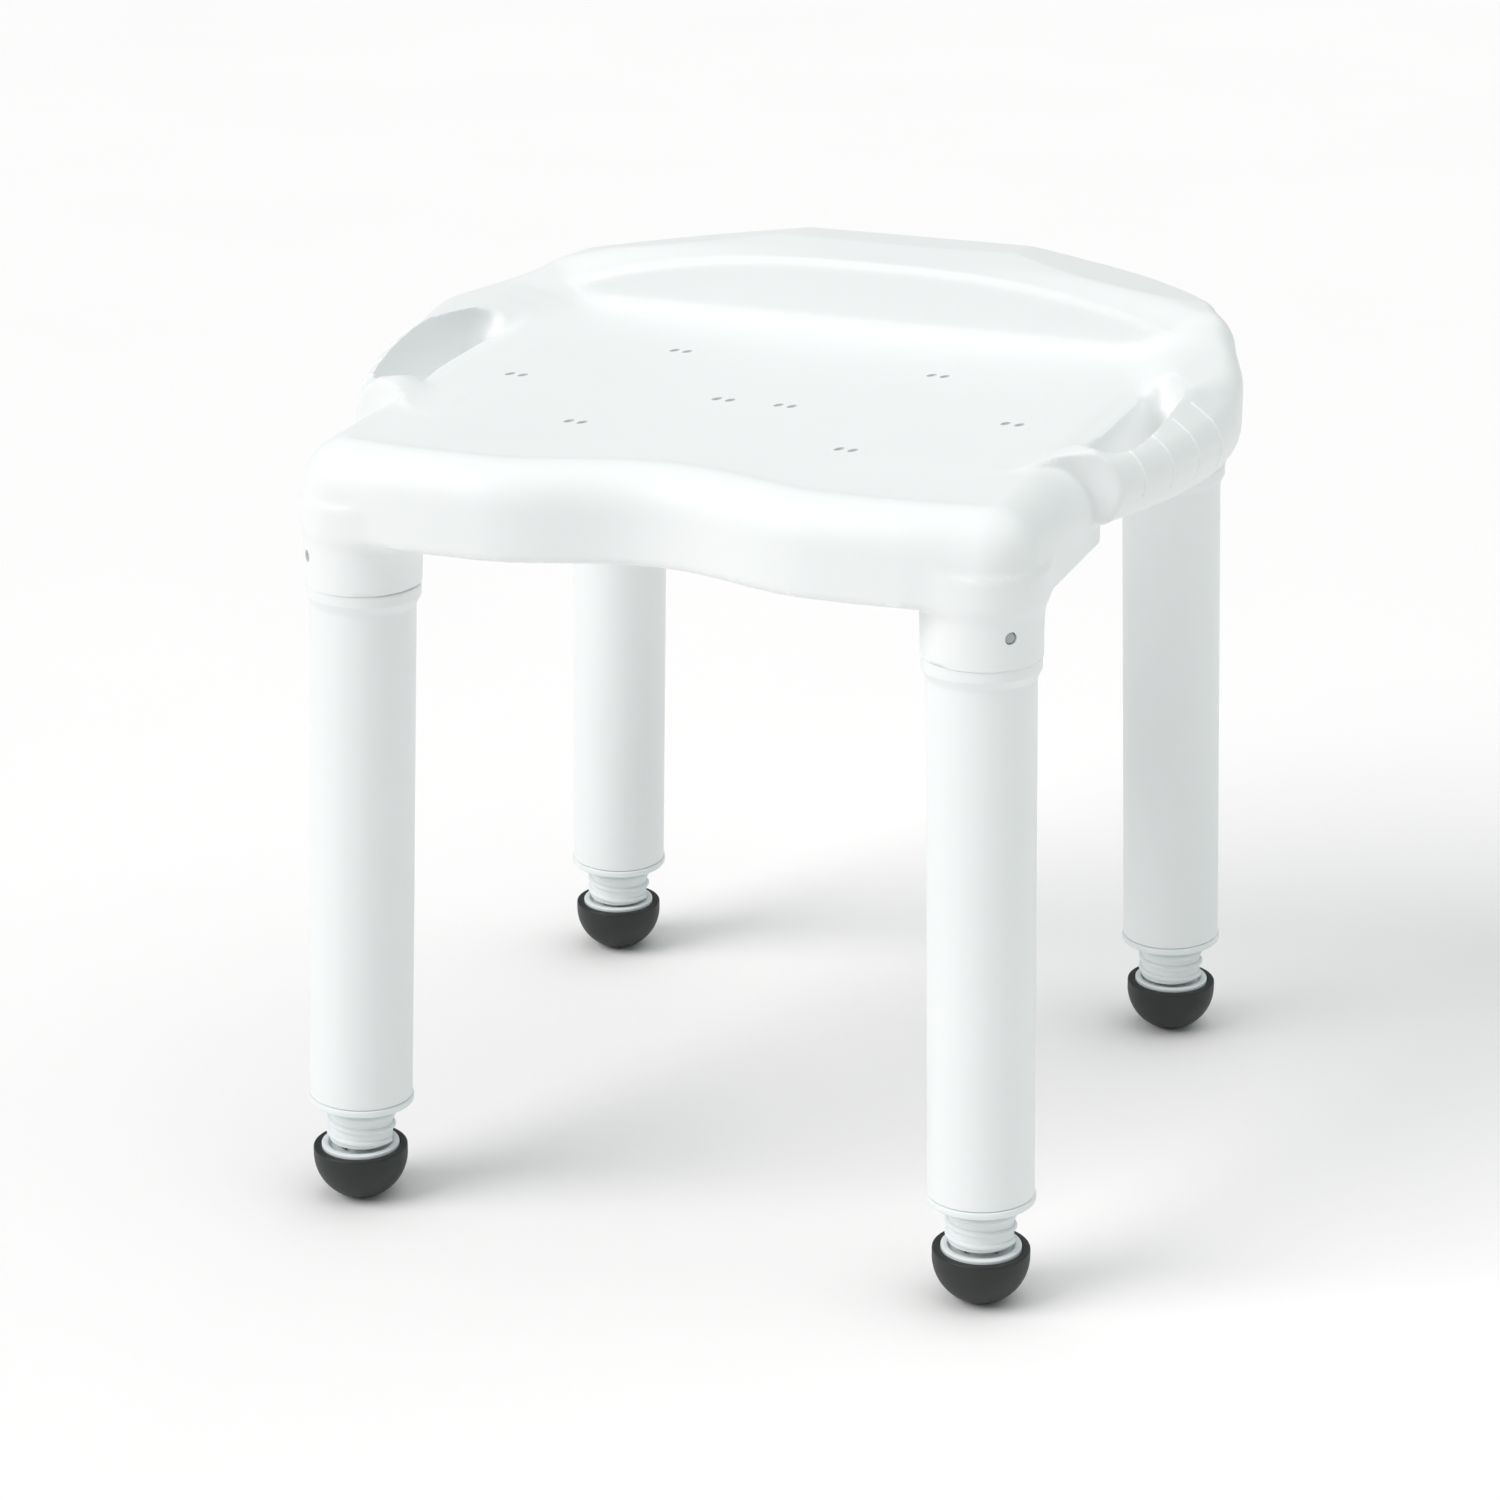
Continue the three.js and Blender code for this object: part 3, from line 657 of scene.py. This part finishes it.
def netSurface(field, low, high, step):
    # Dual contouring: one vertex in each cell that the surface crosses, set by the crossings' planes
    leastSteep = 0.25
    keepMean = 0.12
    mostShift = 0.9 * step
    counts = [int(math.ceil((high[k] - low[k]) / step)) + 1 for k in range(3)]
    axes = [low[k] + step * np.arange(counts[k]) for k in range(3)]
    grid = np.empty(counts)
    plane = np.stack(np.meshgrid(axes[0], axes[1], indexing="ij"), -1).reshape(-1, 2)
    for k, height in enumerate(axes[2]):
        p = np.column_stack([plane, np.full(len(plane), height)])
        grid[:, :, k] = field(p).reshape(counts[0], counts[1])
    inside = grid < 0
    cellShape = [count - 1 for count in counts]
    cellCount = np.zeros(cellShape, int)
    cellIndex = -np.ones(cellShape, int)
    crossings = []
    for axis in range(3):
        lo = [slice(None)] * 3
        hi = [slice(None)] * 3
        lo[axis] = slice(0, -1)
        hi[axis] = slice(1, None)
        first, second = inside[tuple(lo)], inside[tuple(hi)]
        at = np.argwhere(first != second)
        a = grid[tuple(lo)][tuple(at.T)]
        b = grid[tuple(hi)][tuple(at.T)]
        p = np.array(low) + step * at
        p[:, axis] += step * a / (a - b)
        crossings.append((axis, at, p, a < 0))
    points = np.concatenate([c[2] for c in crossings])
    for _ in range(2):
        slope = fieldSlope(field, points)
        steep = np.maximum((slope ** 2).sum(1), leastSteep)
        points = points - slope * (field(points) / steep)[:, None]
    slope = fieldSlope(field, points)
    slope /= np.linalg.norm(slope, axis=1)[:, None] + 1e-9
    sums = np.zeros(cellShape + [12])
    start = 0
    for axis, at, p, _ in crossings:
        q = points[start:start + len(at)]
        n = slope[start:start + len(at)]
        start += len(at)
        d = (q * n).sum(1)
        rows = np.column_stack([q, n[:, 0] ** 2, n[:, 1] ** 2, n[:, 2] ** 2, n[:, 0] * n[:, 1],
                                n[:, 0] * n[:, 2], n[:, 1] * n[:, 2], n * d[:, None]])
        others = [k for k in range(3) if k != axis]
        for da in (0, 1):
            for db in (0, 1):
                cell = at.copy()
                cell[:, others[0]] -= da
                cell[:, others[1]] -= db
                ok = ((cell >= 0) & (cell < np.array(cellShape))).all(1)
                np.add.at(sums, tuple(cell[ok].T), rows[ok])
                np.add.at(cellCount, tuple(cell[ok].T), 1)
    cells = np.argwhere(cellCount > 0)
    cellIndex[tuple(cells.T)] = np.arange(len(cells))
    data = sums[tuple(cells.T)]
    count = cellCount[tuple(cells.T)][:, None]
    mean = data[:, :3] / count
    matrix = np.empty((len(cells), 3, 3))
    matrix[:, 0, 0], matrix[:, 1, 1], matrix[:, 2, 2] = data[:, 3], data[:, 4], data[:, 5]
    matrix[:, 0, 1] = matrix[:, 1, 0] = data[:, 6]
    matrix[:, 0, 2] = matrix[:, 2, 0] = data[:, 7]
    matrix[:, 1, 2] = matrix[:, 2, 1] = data[:, 8]
    right = data[:, 9:12] - np.einsum("nij,nj->ni", matrix, mean)
    shift = np.linalg.solve(matrix + keepMean * np.eye(3), right[:, :, None])[:, :, 0]
    length = np.linalg.norm(shift, axis=1)[:, None] + 1e-9
    vertices = mean + shift * np.minimum(1, mostShift / length)
    faces = []
    for axis, at, p, firstInside in crossings:
        u, v = [(1, 2), (2, 0), (0, 1)][axis]
        ok = (at[:, u] > 0) & (at[:, v] > 0) & (at[:, u] < cellShape[u]) & (at[:, v] < cellShape[v])
        at, flag = at[ok], firstInside[ok]
        corners = []
        for du, dv in ((1, 1), (0, 1), (0, 0), (1, 0)):
            cell = at.copy()
            cell[:, u] -= du
            cell[:, v] -= dv
            corners.append(cellIndex[tuple(cell.T)])
        quad = np.column_stack(corners)
        quad[~flag] = quad[~flag][:, ::-1]
        faces.append(quad)
    return vertices, np.concatenate(faces)


def toRow(points):
    # Millimetres from the middle of the legs to metres in the row frame
    return (np.asarray(points) + (0.0, legsMiddleY, 0.0)) * mm


def buildSeat():
    s = seatSizes
    vertices, faces = netSurface(seatField, s["low"], s["high"], s["gridStep"])
    vertices[:, :2] = np.clip(vertices[:, :2], s["leastXY"], s["mostXY"])
    seat = meshObject("seatMoulding", toRow(vertices), faces.tolist(), "seat_plastic", 50.0)
    print("seat surface", len(faces) * 2, "triangles")
    return seat


class Tree:
    # A small builder for geometry node groups
    def __init__(self, name, inputs):
        self.tree = bpy.data.node_groups.new(name, "GeometryNodeTree")
        self.tree.interface.new_socket("Geometry", in_out="INPUT", socket_type="NodeSocketGeometry")
        self.ids = {}
        for label, (kind, value) in inputs.items():
            made = self.tree.interface.new_socket(label, in_out="INPUT", socket_type=kind)
            if value is not None:
                made.default_value = value
            self.ids[label] = made.identifier
        self.tree.interface.new_socket("Geometry", in_out="OUTPUT", socket_type="NodeSocketGeometry")
        self.inside = self.tree.nodes.new("NodeGroupInput")

    def given(self, label):
        return self.inside.outputs[label]

    def node(self, kind, settings=None, values=None):
        made = self.tree.nodes.new(kind)
        for key, value in (settings or {}).items():
            setattr(made, key, value)
        for key, value in (values or {}).items():
            if isinstance(value, bpy.types.NodeSocket):
                self.tree.links.new(value, made.inputs[key])
            else:
                made.inputs[key].default_value = value
        return made

    def end(self, geometry, material):
        real = self.node("GeometryNodeRealizeInstances", values={"Geometry": geometry})
        painted = self.node("GeometryNodeSetMaterial", values={
            "Geometry": real.outputs[0], "Material": material})
        out = self.tree.nodes.new("NodeGroupOutput")
        self.tree.links.new(painted.outputs[0], out.inputs[0])


def runTree(tree, name, base, values):
    # Evaluates the tree on a base mesh and keeps the result as a plain mesh object
    carrier = bpy.data.objects.new(name + "Base", base)
    scene.collection.objects.link(carrier)
    modifier = carrier.modifiers.new("nodes", "NODES")
    modifier.node_group = tree.tree
    for label, value in values.items():
        modifier[tree.ids[label]] = value
    bpy.context.view_layer.update()
    graph = bpy.context.evaluated_depsgraph_get()
    data = bpy.data.meshes.new_from_object(carrier.evaluated_get(graph))
    data.name = name
    bpy.data.objects.remove(carrier)
    made = bpy.data.objects.new(name, data)
    scene.collection.objects.link(made)
    return made


def wireMesh(name, lines):
    # Polylines as bare edges, for a tree that sweeps along them
    points = []
    edges = []
    for line in lines:
        base = len(points)
        points.extend(tuple(point) for point in line)
        edges.extend((base + i, base + i + 1) for i in range(len(line) - 1))
    data = bpy.data.meshes.new(name)
    data.from_pydata(points, edges, [])
    return data


def sweepTree():
    # Sweeps a round bead along every edge line of the base
    tree = Tree("beadSweep", {"Bead Radius": ("NodeSocketFloat", 0.0005),
                              "Bead Sides": ("NodeSocketInt", 8),
                              "Finish": ("NodeSocketMaterial", None)})
    curve = tree.node("GeometryNodeMeshToCurve", values={"Mesh": tree.given("Geometry")})
    ring = tree.node("GeometryNodeCurvePrimitiveCircle", values={
        "Resolution": tree.given("Bead Sides"), "Radius": tree.given("Bead Radius")})
    swept = tree.node("GeometryNodeCurveToMesh", values={
        "Curve": curve.outputs[0], "Profile Curve": ring.outputs[0], "Fill Caps": True})
    tree.end(swept.outputs[0], tree.given("Finish"))
    return tree


def drainTree():
    # Puts one slanted oval cutter at every point of the base
    tree = Tree("drainCutters", {"Slot Length": ("NodeSocketFloat", 0.0075),
                                 "Slot Width": ("NodeSocketFloat", 0.003),
                                 "Slot Depth": ("NodeSocketFloat", 0.06),
                                 "Lean": ("NodeSocketFloat", 1.047),
                                 "Finish": ("NodeSocketMaterial", None)})
    drum = tree.node("GeometryNodeMeshCylinder", values={
        "Vertices": 28, "Radius": 0.5, "Depth": 1.0})
    scale = tree.node("ShaderNodeCombineXYZ", values={
        "X": tree.given("Slot Length"), "Y": tree.given("Slot Width"),
        "Z": tree.given("Slot Depth")})
    turn = tree.node("ShaderNodeCombineXYZ", values={"Z": tree.given("Lean")})
    placed = tree.node("GeometryNodeInstanceOnPoints", values={
        "Points": tree.given("Geometry"), "Instance": drum.outputs[0],
        "Rotation": turn.outputs[0], "Scale": scale.outputs[0]})
    tree.end(placed.outputs[0], tree.given("Finish"))
    return tree


def threadTree():
    # A rounded thread wound round the leg axis, then set in the leg's place
    tree = Tree("legThread", {"Turns": ("NodeSocketFloat", 20.0),
                              "Thread Radius": ("NodeSocketFloat", 0.0178),
                              "Height": ("NodeSocketFloat", 0.14),
                              "Bead Radius": ("NodeSocketFloat", 0.0018),
                              "Start": ("NodeSocketVector", (0.0, 0.0, 0.0)),
                              "Turned": ("NodeSocketRotation", None),
                              "Finish": ("NodeSocketMaterial", None)})
    helix = tree.node("GeometryNodeCurveSpiral", values={
        "Resolution": 40, "Rotations": tree.given("Turns"),
        "Start Radius": tree.given("Thread Radius"), "End Radius": tree.given("Thread Radius"),
        "Height": tree.given("Height"), "Reverse": False})
    ring = tree.node("GeometryNodeCurvePrimitiveCircle", values={
        "Resolution": 10, "Radius": tree.given("Bead Radius")})
    swept = tree.node("GeometryNodeCurveToMesh", values={
        "Curve": helix.outputs[0], "Profile Curve": ring.outputs[0], "Fill Caps": True})
    placed = tree.node("GeometryNodeTransform", values={
        "Geometry": swept.outputs[0], "Translation": tree.given("Start"),
        "Rotation": tree.given("Turned")})
    tree.end(placed.outputs[0], tree.given("Finish"))
    return tree


drains = {"places": [(141, -40), (75, -115), (75, 37), (17.5, -48)], "gap": 7.5, "length": 7.5,
          "width": 3.8, "depth": 60.0, "middleZ": 415.0, "lean": math.radians(66)}
gripLines = {"rows": {-70: 214.0, -46: 221.0, -20: 226.0, 8: 229.0}, "bead": 1.2, "lift": 0.6,
             "middleZ": 418.0, "sweep": (104, -56, 34), "reach": (2.0, 40.0, 0.5)}


def cutHoles(seat):
    # The drain slots and the holes in front of the lock buttons
    points = []
    for side in (-1, 1):
        for x, y in drains["places"]:
            for step in (-0.5, 0.5):
                points.append((side * x + step * drains["gap"], y, drains["middleZ"]))
    base = bpy.data.meshes.new("drainPoints")
    base.from_pydata([tuple(point) for point in toRow(points)], [], [])
    slots = runTree(drainTree(), "drainCutter", base, {
        "Slot Length": drains["length"] * mm, "Slot Width": drains["width"] * mm,
        "Slot Depth": drains["depth"] * mm, "Lean": drains["lean"],
        "Finish": finishes["seat_plastic"]})
    parts = [plainMesh(slots)]
    inside, outside = button["holeSpan"]
    hole = [(0.0, inside), (button["hole"], inside), (button["hole"], outside), (0.0, outside)]
    parts += [turned(hole, buttonPlace(end), 32) for end in ends]
    cutter = joinMeshes("cutters", parts, "seat_plastic")
    modifier = seat.modifiers.new("holes", "BOOLEAN")
    modifier.operation = "DIFFERENCE"
    modifier.solver = "MANIFOLD"
    modifier.object = cutter
    bpy.context.view_layer.update()
    graph = bpy.context.evaluated_depsgraph_get()
    data = bpy.data.meshes.new_from_object(seat.evaluated_get(graph))
    seat.modifiers.clear()
    seat.data = data
    bpy.data.objects.remove(cutter)
    smoothFaces(seat, 50.0)
    print("seat holes cut,", len(data.polygons), "faces")


def gripPath(side, y, middleX):
    # Walks round the handle's outside at one depth, from its top inner edge to its lower edge
    line = []
    middle = np.array([middleX, y, gripLines["middleZ"]])
    reach = np.arange(*gripLines["reach"])
    step = gripLines["reach"][2]
    for angle in np.radians(np.linspace(*gripLines["sweep"])):
        way = np.array([math.cos(angle), 0.0, math.sin(angle)])
        values = seatField(middle + reach[:, None] * way)
        out = np.argmax(values > 0)
        if out == 0:
            continue
        t = values[out - 1] / (values[out - 1] - values[out])
        surface = reach[out - 1] + step * t
        line.append(middle + way * (surface - gripLines["bead"] + gripLines["lift"]))
    line = np.array(line)
    line[:, 0] *= side
    return toRow(line)


def buildGripLines():
    lines = [gripPath(side, y, x) for side in (-1, 1) for y, x in gripLines["rows"].items()]
    made = runTree(sweepTree(), "gripLines", wireMesh("gripPaths", lines), {
        "Bead Radius": gripLines["bead"] * mm, "Bead Sides": 8, "Finish": finishes["grip_line"]})
    smoothFaces(made, 60.0)
    return made


tube = {"radius": 28.0, "bore": 25.0, "bottom": 61.0, "seam": 353.0, "collar": 30.5,
        "collarHeight": 6.5, "chamfer": 5.0, "neck": 6.0, "spigot": 26.0, "spigotBore": 23.2,
        "spigotTop": 393.0}
bush = {"low": 56.7, "flange": 28.8, "height": 4.0, "outer": 24.7, "top": 82.7, "bore": 19.3}
screw = {"core": 17.35, "bead": 1.75, "pitch": 7.0, "bottom": 33.0, "top": 192.0, "bore": 13.0,
         "ball": 9.0, "ballHeight": 21.0, "neck": 6.0, "neckTop": 2.0, "floor": 8.0,
         "clearLow": 0.4, "clearHigh": 0.6}
foot = {"radius": 25.8, "rim": 30.0, "wall": 4.2, "tread": 7.0, "cupTop": 31.5, "gap": 0.3,
        "pocket": 9.6, "dish": 2.6, "lip": 3.4, "dishRadius": 16.0, "pocketLand": 2.0}
button = {"height": 369.0, "radius": 3.0, "tip": 30.2, "head": 4.6, "headThick": 1.6,
          "headOut": 22.44, "hole": 3.3, "holeSpan": (20.0, 36.0)}


def ballArc(radius, height, start, stop, steps):
    angles = np.radians(np.linspace(start, stop, steps + 1))
    return [(max(0.0, radius * math.cos(a)), height + radius * math.sin(a)) for a in angles]


def buildTube(end):
    t = tube
    profile = rounded([
        (t["bore"], t["bottom"]), (t["radius"], t["bottom"]),
        (t["radius"], t["seam"] - t["collarHeight"] - t["chamfer"]),
        (t["collar"], t["seam"] - t["collarHeight"]), (t["collar"], t["seam"]),
        (t["spigot"], t["seam"]), (t["spigot"], t["spigotTop"]), (t["spigotBore"], t["spigotTop"]),
        (t["spigotBore"], t["seam"] - t["collarHeight"]),
        (t["bore"], t["seam"] - t["collarHeight"] - t["neck"])],
        {1: 0.6, 2: 5.0, 3: 2.2, 4: 1.3, 6: 1.5, 7: 0.8})
    return joinMeshes(end + "Tube", [turned(profile, legFrames[end], 96)], "tube_plastic")


def buildBush(end):
    b = bush
    high = b["low"] + b["height"]
    profile = rounded([
        (b["bore"], b["low"]), (b["flange"], b["low"]), (b["flange"], high), (b["outer"], high),
        (b["outer"], b["top"]), (b["bore"], b["top"])], {0: 0.8, 1: 1.6, 2: 1.2, 4: 1.0})
    return joinMeshes(end + "Bush", [turned(profile, legFrames[end], 96)], "adjuster_plastic")


def plainMesh(made):
    points = [vertex.co.copy() for vertex in made.data.vertices]
    faces = [list(face.vertices) for face in made.data.polygons]
    bpy.data.objects.remove(made)
    return points, faces


def buildScrew(end, tree):
    s = screw
    place = legFrames[end]
    core = rounded([
        (0.0, s["bottom"]), (s["core"], s["bottom"]), (s["core"], s["top"]), (s["bore"], s["top"]),
        (s["bore"], s["bottom"] + s["floor"]), (0.0, s["bottom"] + s["floor"])],
        {1: 1.2, 2: 1.2, 3: 1.0, 4: 2.0})
    stud = ballArc(s["ball"], s["ballHeight"], -90, 46, 14)
    stud += [(s["neck"], s["bottom"] + s["neckTop"]), (0.0, s["bottom"] + s["neckTop"])]
    low = s["bottom"] + s["bead"] + s["clearLow"]
    high = s["top"] - s["bead"] - s["clearHigh"]
    start = place @ Vector((0, 0, low * mm))
    turn = place.to_3x3().to_euler()
    thread = runTree(tree, end + "Thread", bpy.data.meshes.new("empty"), {
        "Turns": (high - low) / s["pitch"], "Thread Radius": s["core"] * mm,
        "Height": (high - low) * mm, "Bead Radius": s["bead"] * mm,
        "Start": tuple(start), "Turned": tuple(turn), "Finish": finishes["adjuster_plastic"]})
    return joinMeshes(end + "Screw", [turned(core, place, 64), turned(stud, place, 48),
                                      plainMesh(thread)], "adjuster_plastic", 50.0)


def footPlace(end):
    # Foot pieces stand level on the floor
    ball = Vector(joints[end + "_thread"]["pos_m"])
    return Matrix.Translation((ball.x, ball.y, 0))


def buildTip(end):
    f = foot
    centre = math.sqrt(f["radius"] ** 2 - f["tread"] ** 2)
    start = math.degrees(math.atan2(-centre, f["tread"]))
    inner = f["radius"] - f["wall"]
    profile = [(0.0, 0.0)] + ballArc(f["radius"], centre, start, 0, 20)
    profile[1] = (profile[1][0], 0.0)
    edge = rounded([(f["radius"], centre), (f["radius"], f["rim"]), (inner, f["rim"]),
                    (inner, centre)], {1: 1.6, 2: 1.2})
    profile += edge[1:-1] + ballArc(inner, centre, 0, -90, 14)
    return joinMeshes(end + "Tip", [turned(profile, footPlace(end), 80)], "rubber", 40.0)


def buildCup(end):
    f = foot
    centre = math.sqrt(f["radius"] ** 2 - f["tread"] ** 2)
    outer = f["radius"] - f["wall"] - f["gap"]
    profile = ballArc(outer, centre, -90, 0, 16)
    pocket = ballArc(f["pocket"], screw["ballHeight"], 26, -90, 12)
    dishZ = f["cupTop"] - f["dish"]
    edge = rounded([(outer, centre), (outer, f["cupTop"]), (outer - f["lip"], f["cupTop"]),
                    (f["dishRadius"], dishZ), (pocket[0][0] + f["pocketLand"], dishZ), pocket[0]],
                   {1: 1.1, 2: 1.6, 3: 1.2, 4: 1.0})
    profile += edge[1:-1] + pocket
    return joinMeshes(end + "Cup", [turned(profile, footPlace(end), 80)], "adjuster_plastic", 40.0)


def buttonPlace(end):
    # Across the leg, along its outward diagonal
    outward = Vector((1 if end.endswith("right") else -1, 1 if end.startswith("rear") else -1, 0))
    way = outward.normalized().to_track_quat("Z", "Y").to_matrix().to_4x4()
    return legFrames[end] @ Matrix.Translation((0, 0, button["height"] * mm)) @ way


def buildButton(end):
    b = button
    profile = rounded([
        (0.0, b["headOut"] - b["headThick"]), (b["head"], b["headOut"] - b["headThick"]),
        (b["head"], b["headOut"]), (b["radius"], b["headOut"]), (b["radius"], b["tip"]),
        (0.0, b["tip"])], {1: 0.4, 2: 0.4, 4: 1.1})
    return joinMeshes(end + "Button", [turned(profile, buttonPlace(end), 32)], "button_plastic")


seat = buildSeat()
cutHoles(seat)
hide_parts("seat")
grips = buildGripLines()
for piece in (seat, grips):
    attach(piece, "frame")
print("seat done")

windThread = threadTree()
for end in ends:
    made = [
        (buildTube(end), "frame", "tube_plastic", "leg_tube"),
        (buildBush(end), "frame", "adjuster_plastic", "thread_bush"),
        (buildScrew(end, windThread), end + "_screw", "adjuster_plastic", "leg_screw"),
        (buildCup(end), end + "_foot", "adjuster_plastic", "foot_cup"),
        (buildTip(end), end + "_foot", "rubber", "rubber_tip"),
        (buildButton(end), end + "_button", "button_plastic", "lock_button"),
    ]
    for piece, body, slot, node in made:
        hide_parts(end + "_" + node)
        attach(piece, body)
    spring = frame["nodes"][end + "_button_spring"].data
    spring.materials.clear()
    spring.materials.append(finishes["spring_steel"])
print("legs done")


floorLook = {"half": 12.0, "cloud": 3.0, "deep": rgba(0.965, 0.945, 0.945),
             "pale": rgba(0.985, 0.965, 0.965), "rough": 0.75, "cloudRough": 0.1}


def buildFloor():
    graph = Graph("paleFloor")
    cloud = graph.noise(floorLook["cloud"], 3.0, 0.5)
    colour = graph.blend(cloud, floorLook["deep"], floorLook["pale"])
    material = graph.surface({
        "Base Color": colour, "Roughness": cloud * floorLook["cloudRough"] + floorLook["rough"]})
    data = bpy.data.meshes.new("floor")
    size = floorLook["half"]
    data.from_pydata([(-size, -size, 0), (size, -size, 0), (size, size, 0), (-size, size, 0)], [],
                     [(0, 1, 2, 3)])
    data.materials.append(material)
    floor = bpy.data.objects.new("floor", data)
    scene.collection.objects.link(floor)


lights = {
    "key": {"from": (-0.55, -0.52, 0.65), "angle": 38.0, "power": 1.72, "tint": (1.0, 0.965, 0.965)},
    "top": {"from": (0.24, 0.1, 1.0), "angle": 75.0, "power": 1.25, "tint": (1.0, 0.975, 0.975)},
    "side": {"from": (1.0, 0.3, 0.22), "angle": 30.0, "power": 0.12, "tint": (0.9, 1.0, 1.0)},
}


studio = {"colour": rgba(0.87, 1.0, 0.985), "strength": 0.32}


def buildLights():
    for name, light in lights.items():
        data = bpy.data.lights.new(name, "SUN")
        data.angle = math.radians(light["angle"])
        data.energy = light["power"]
        data.color = light["tint"]
        made = bpy.data.objects.new(name, data)
        made.rotation_mode = "QUATERNION"
        made.rotation_quaternion = (-Vector(light["from"])).to_track_quat("-Z", "Y")
        scene.collection.objects.link(made)
    world = bpy.data.worlds.new("studio")
    world.use_nodes = True
    backdrop = world.node_tree.nodes["Background"].inputs
    backdrop["Color"].default_value = studio["colour"]
    backdrop["Strength"].default_value = studio["strength"]
    scene.world = world
    scene.view_settings.view_transform = "Standard"


view = {"azimuth": 20.44, "elevation": 20.284, "distance": 2.4053, "lens": 103.30,
        "across": -0.01913, "height": 0.21736}


def buildCamera():
    a, e = math.radians(view["azimuth"]), math.radians(view["elevation"])
    back = Vector((math.sin(a) * math.cos(e), -math.cos(a) * math.cos(e), math.sin(e)))
    across = Vector((math.cos(a), math.sin(a), 0.0))
    up = back.cross(across)
    data = bpy.data.cameras.new("camera")
    data.lens = view["lens"]
    data.sensor_width = 36.0
    data.clip_end = 60.0
    camera = bpy.data.objects.new("camera", data)
    target = across * view["across"] + Vector((0, legsMiddleY * mm, view["height"]))
    turn = Matrix((across, up, back)).transposed()
    camera.matrix_world = Matrix.Translation(target + back * view["distance"]) @ turn.to_4x4()
    scene.collection.objects.link(camera)
    scene.camera = camera


buildFloor()
buildLights()
buildCamera()
print("stage done")
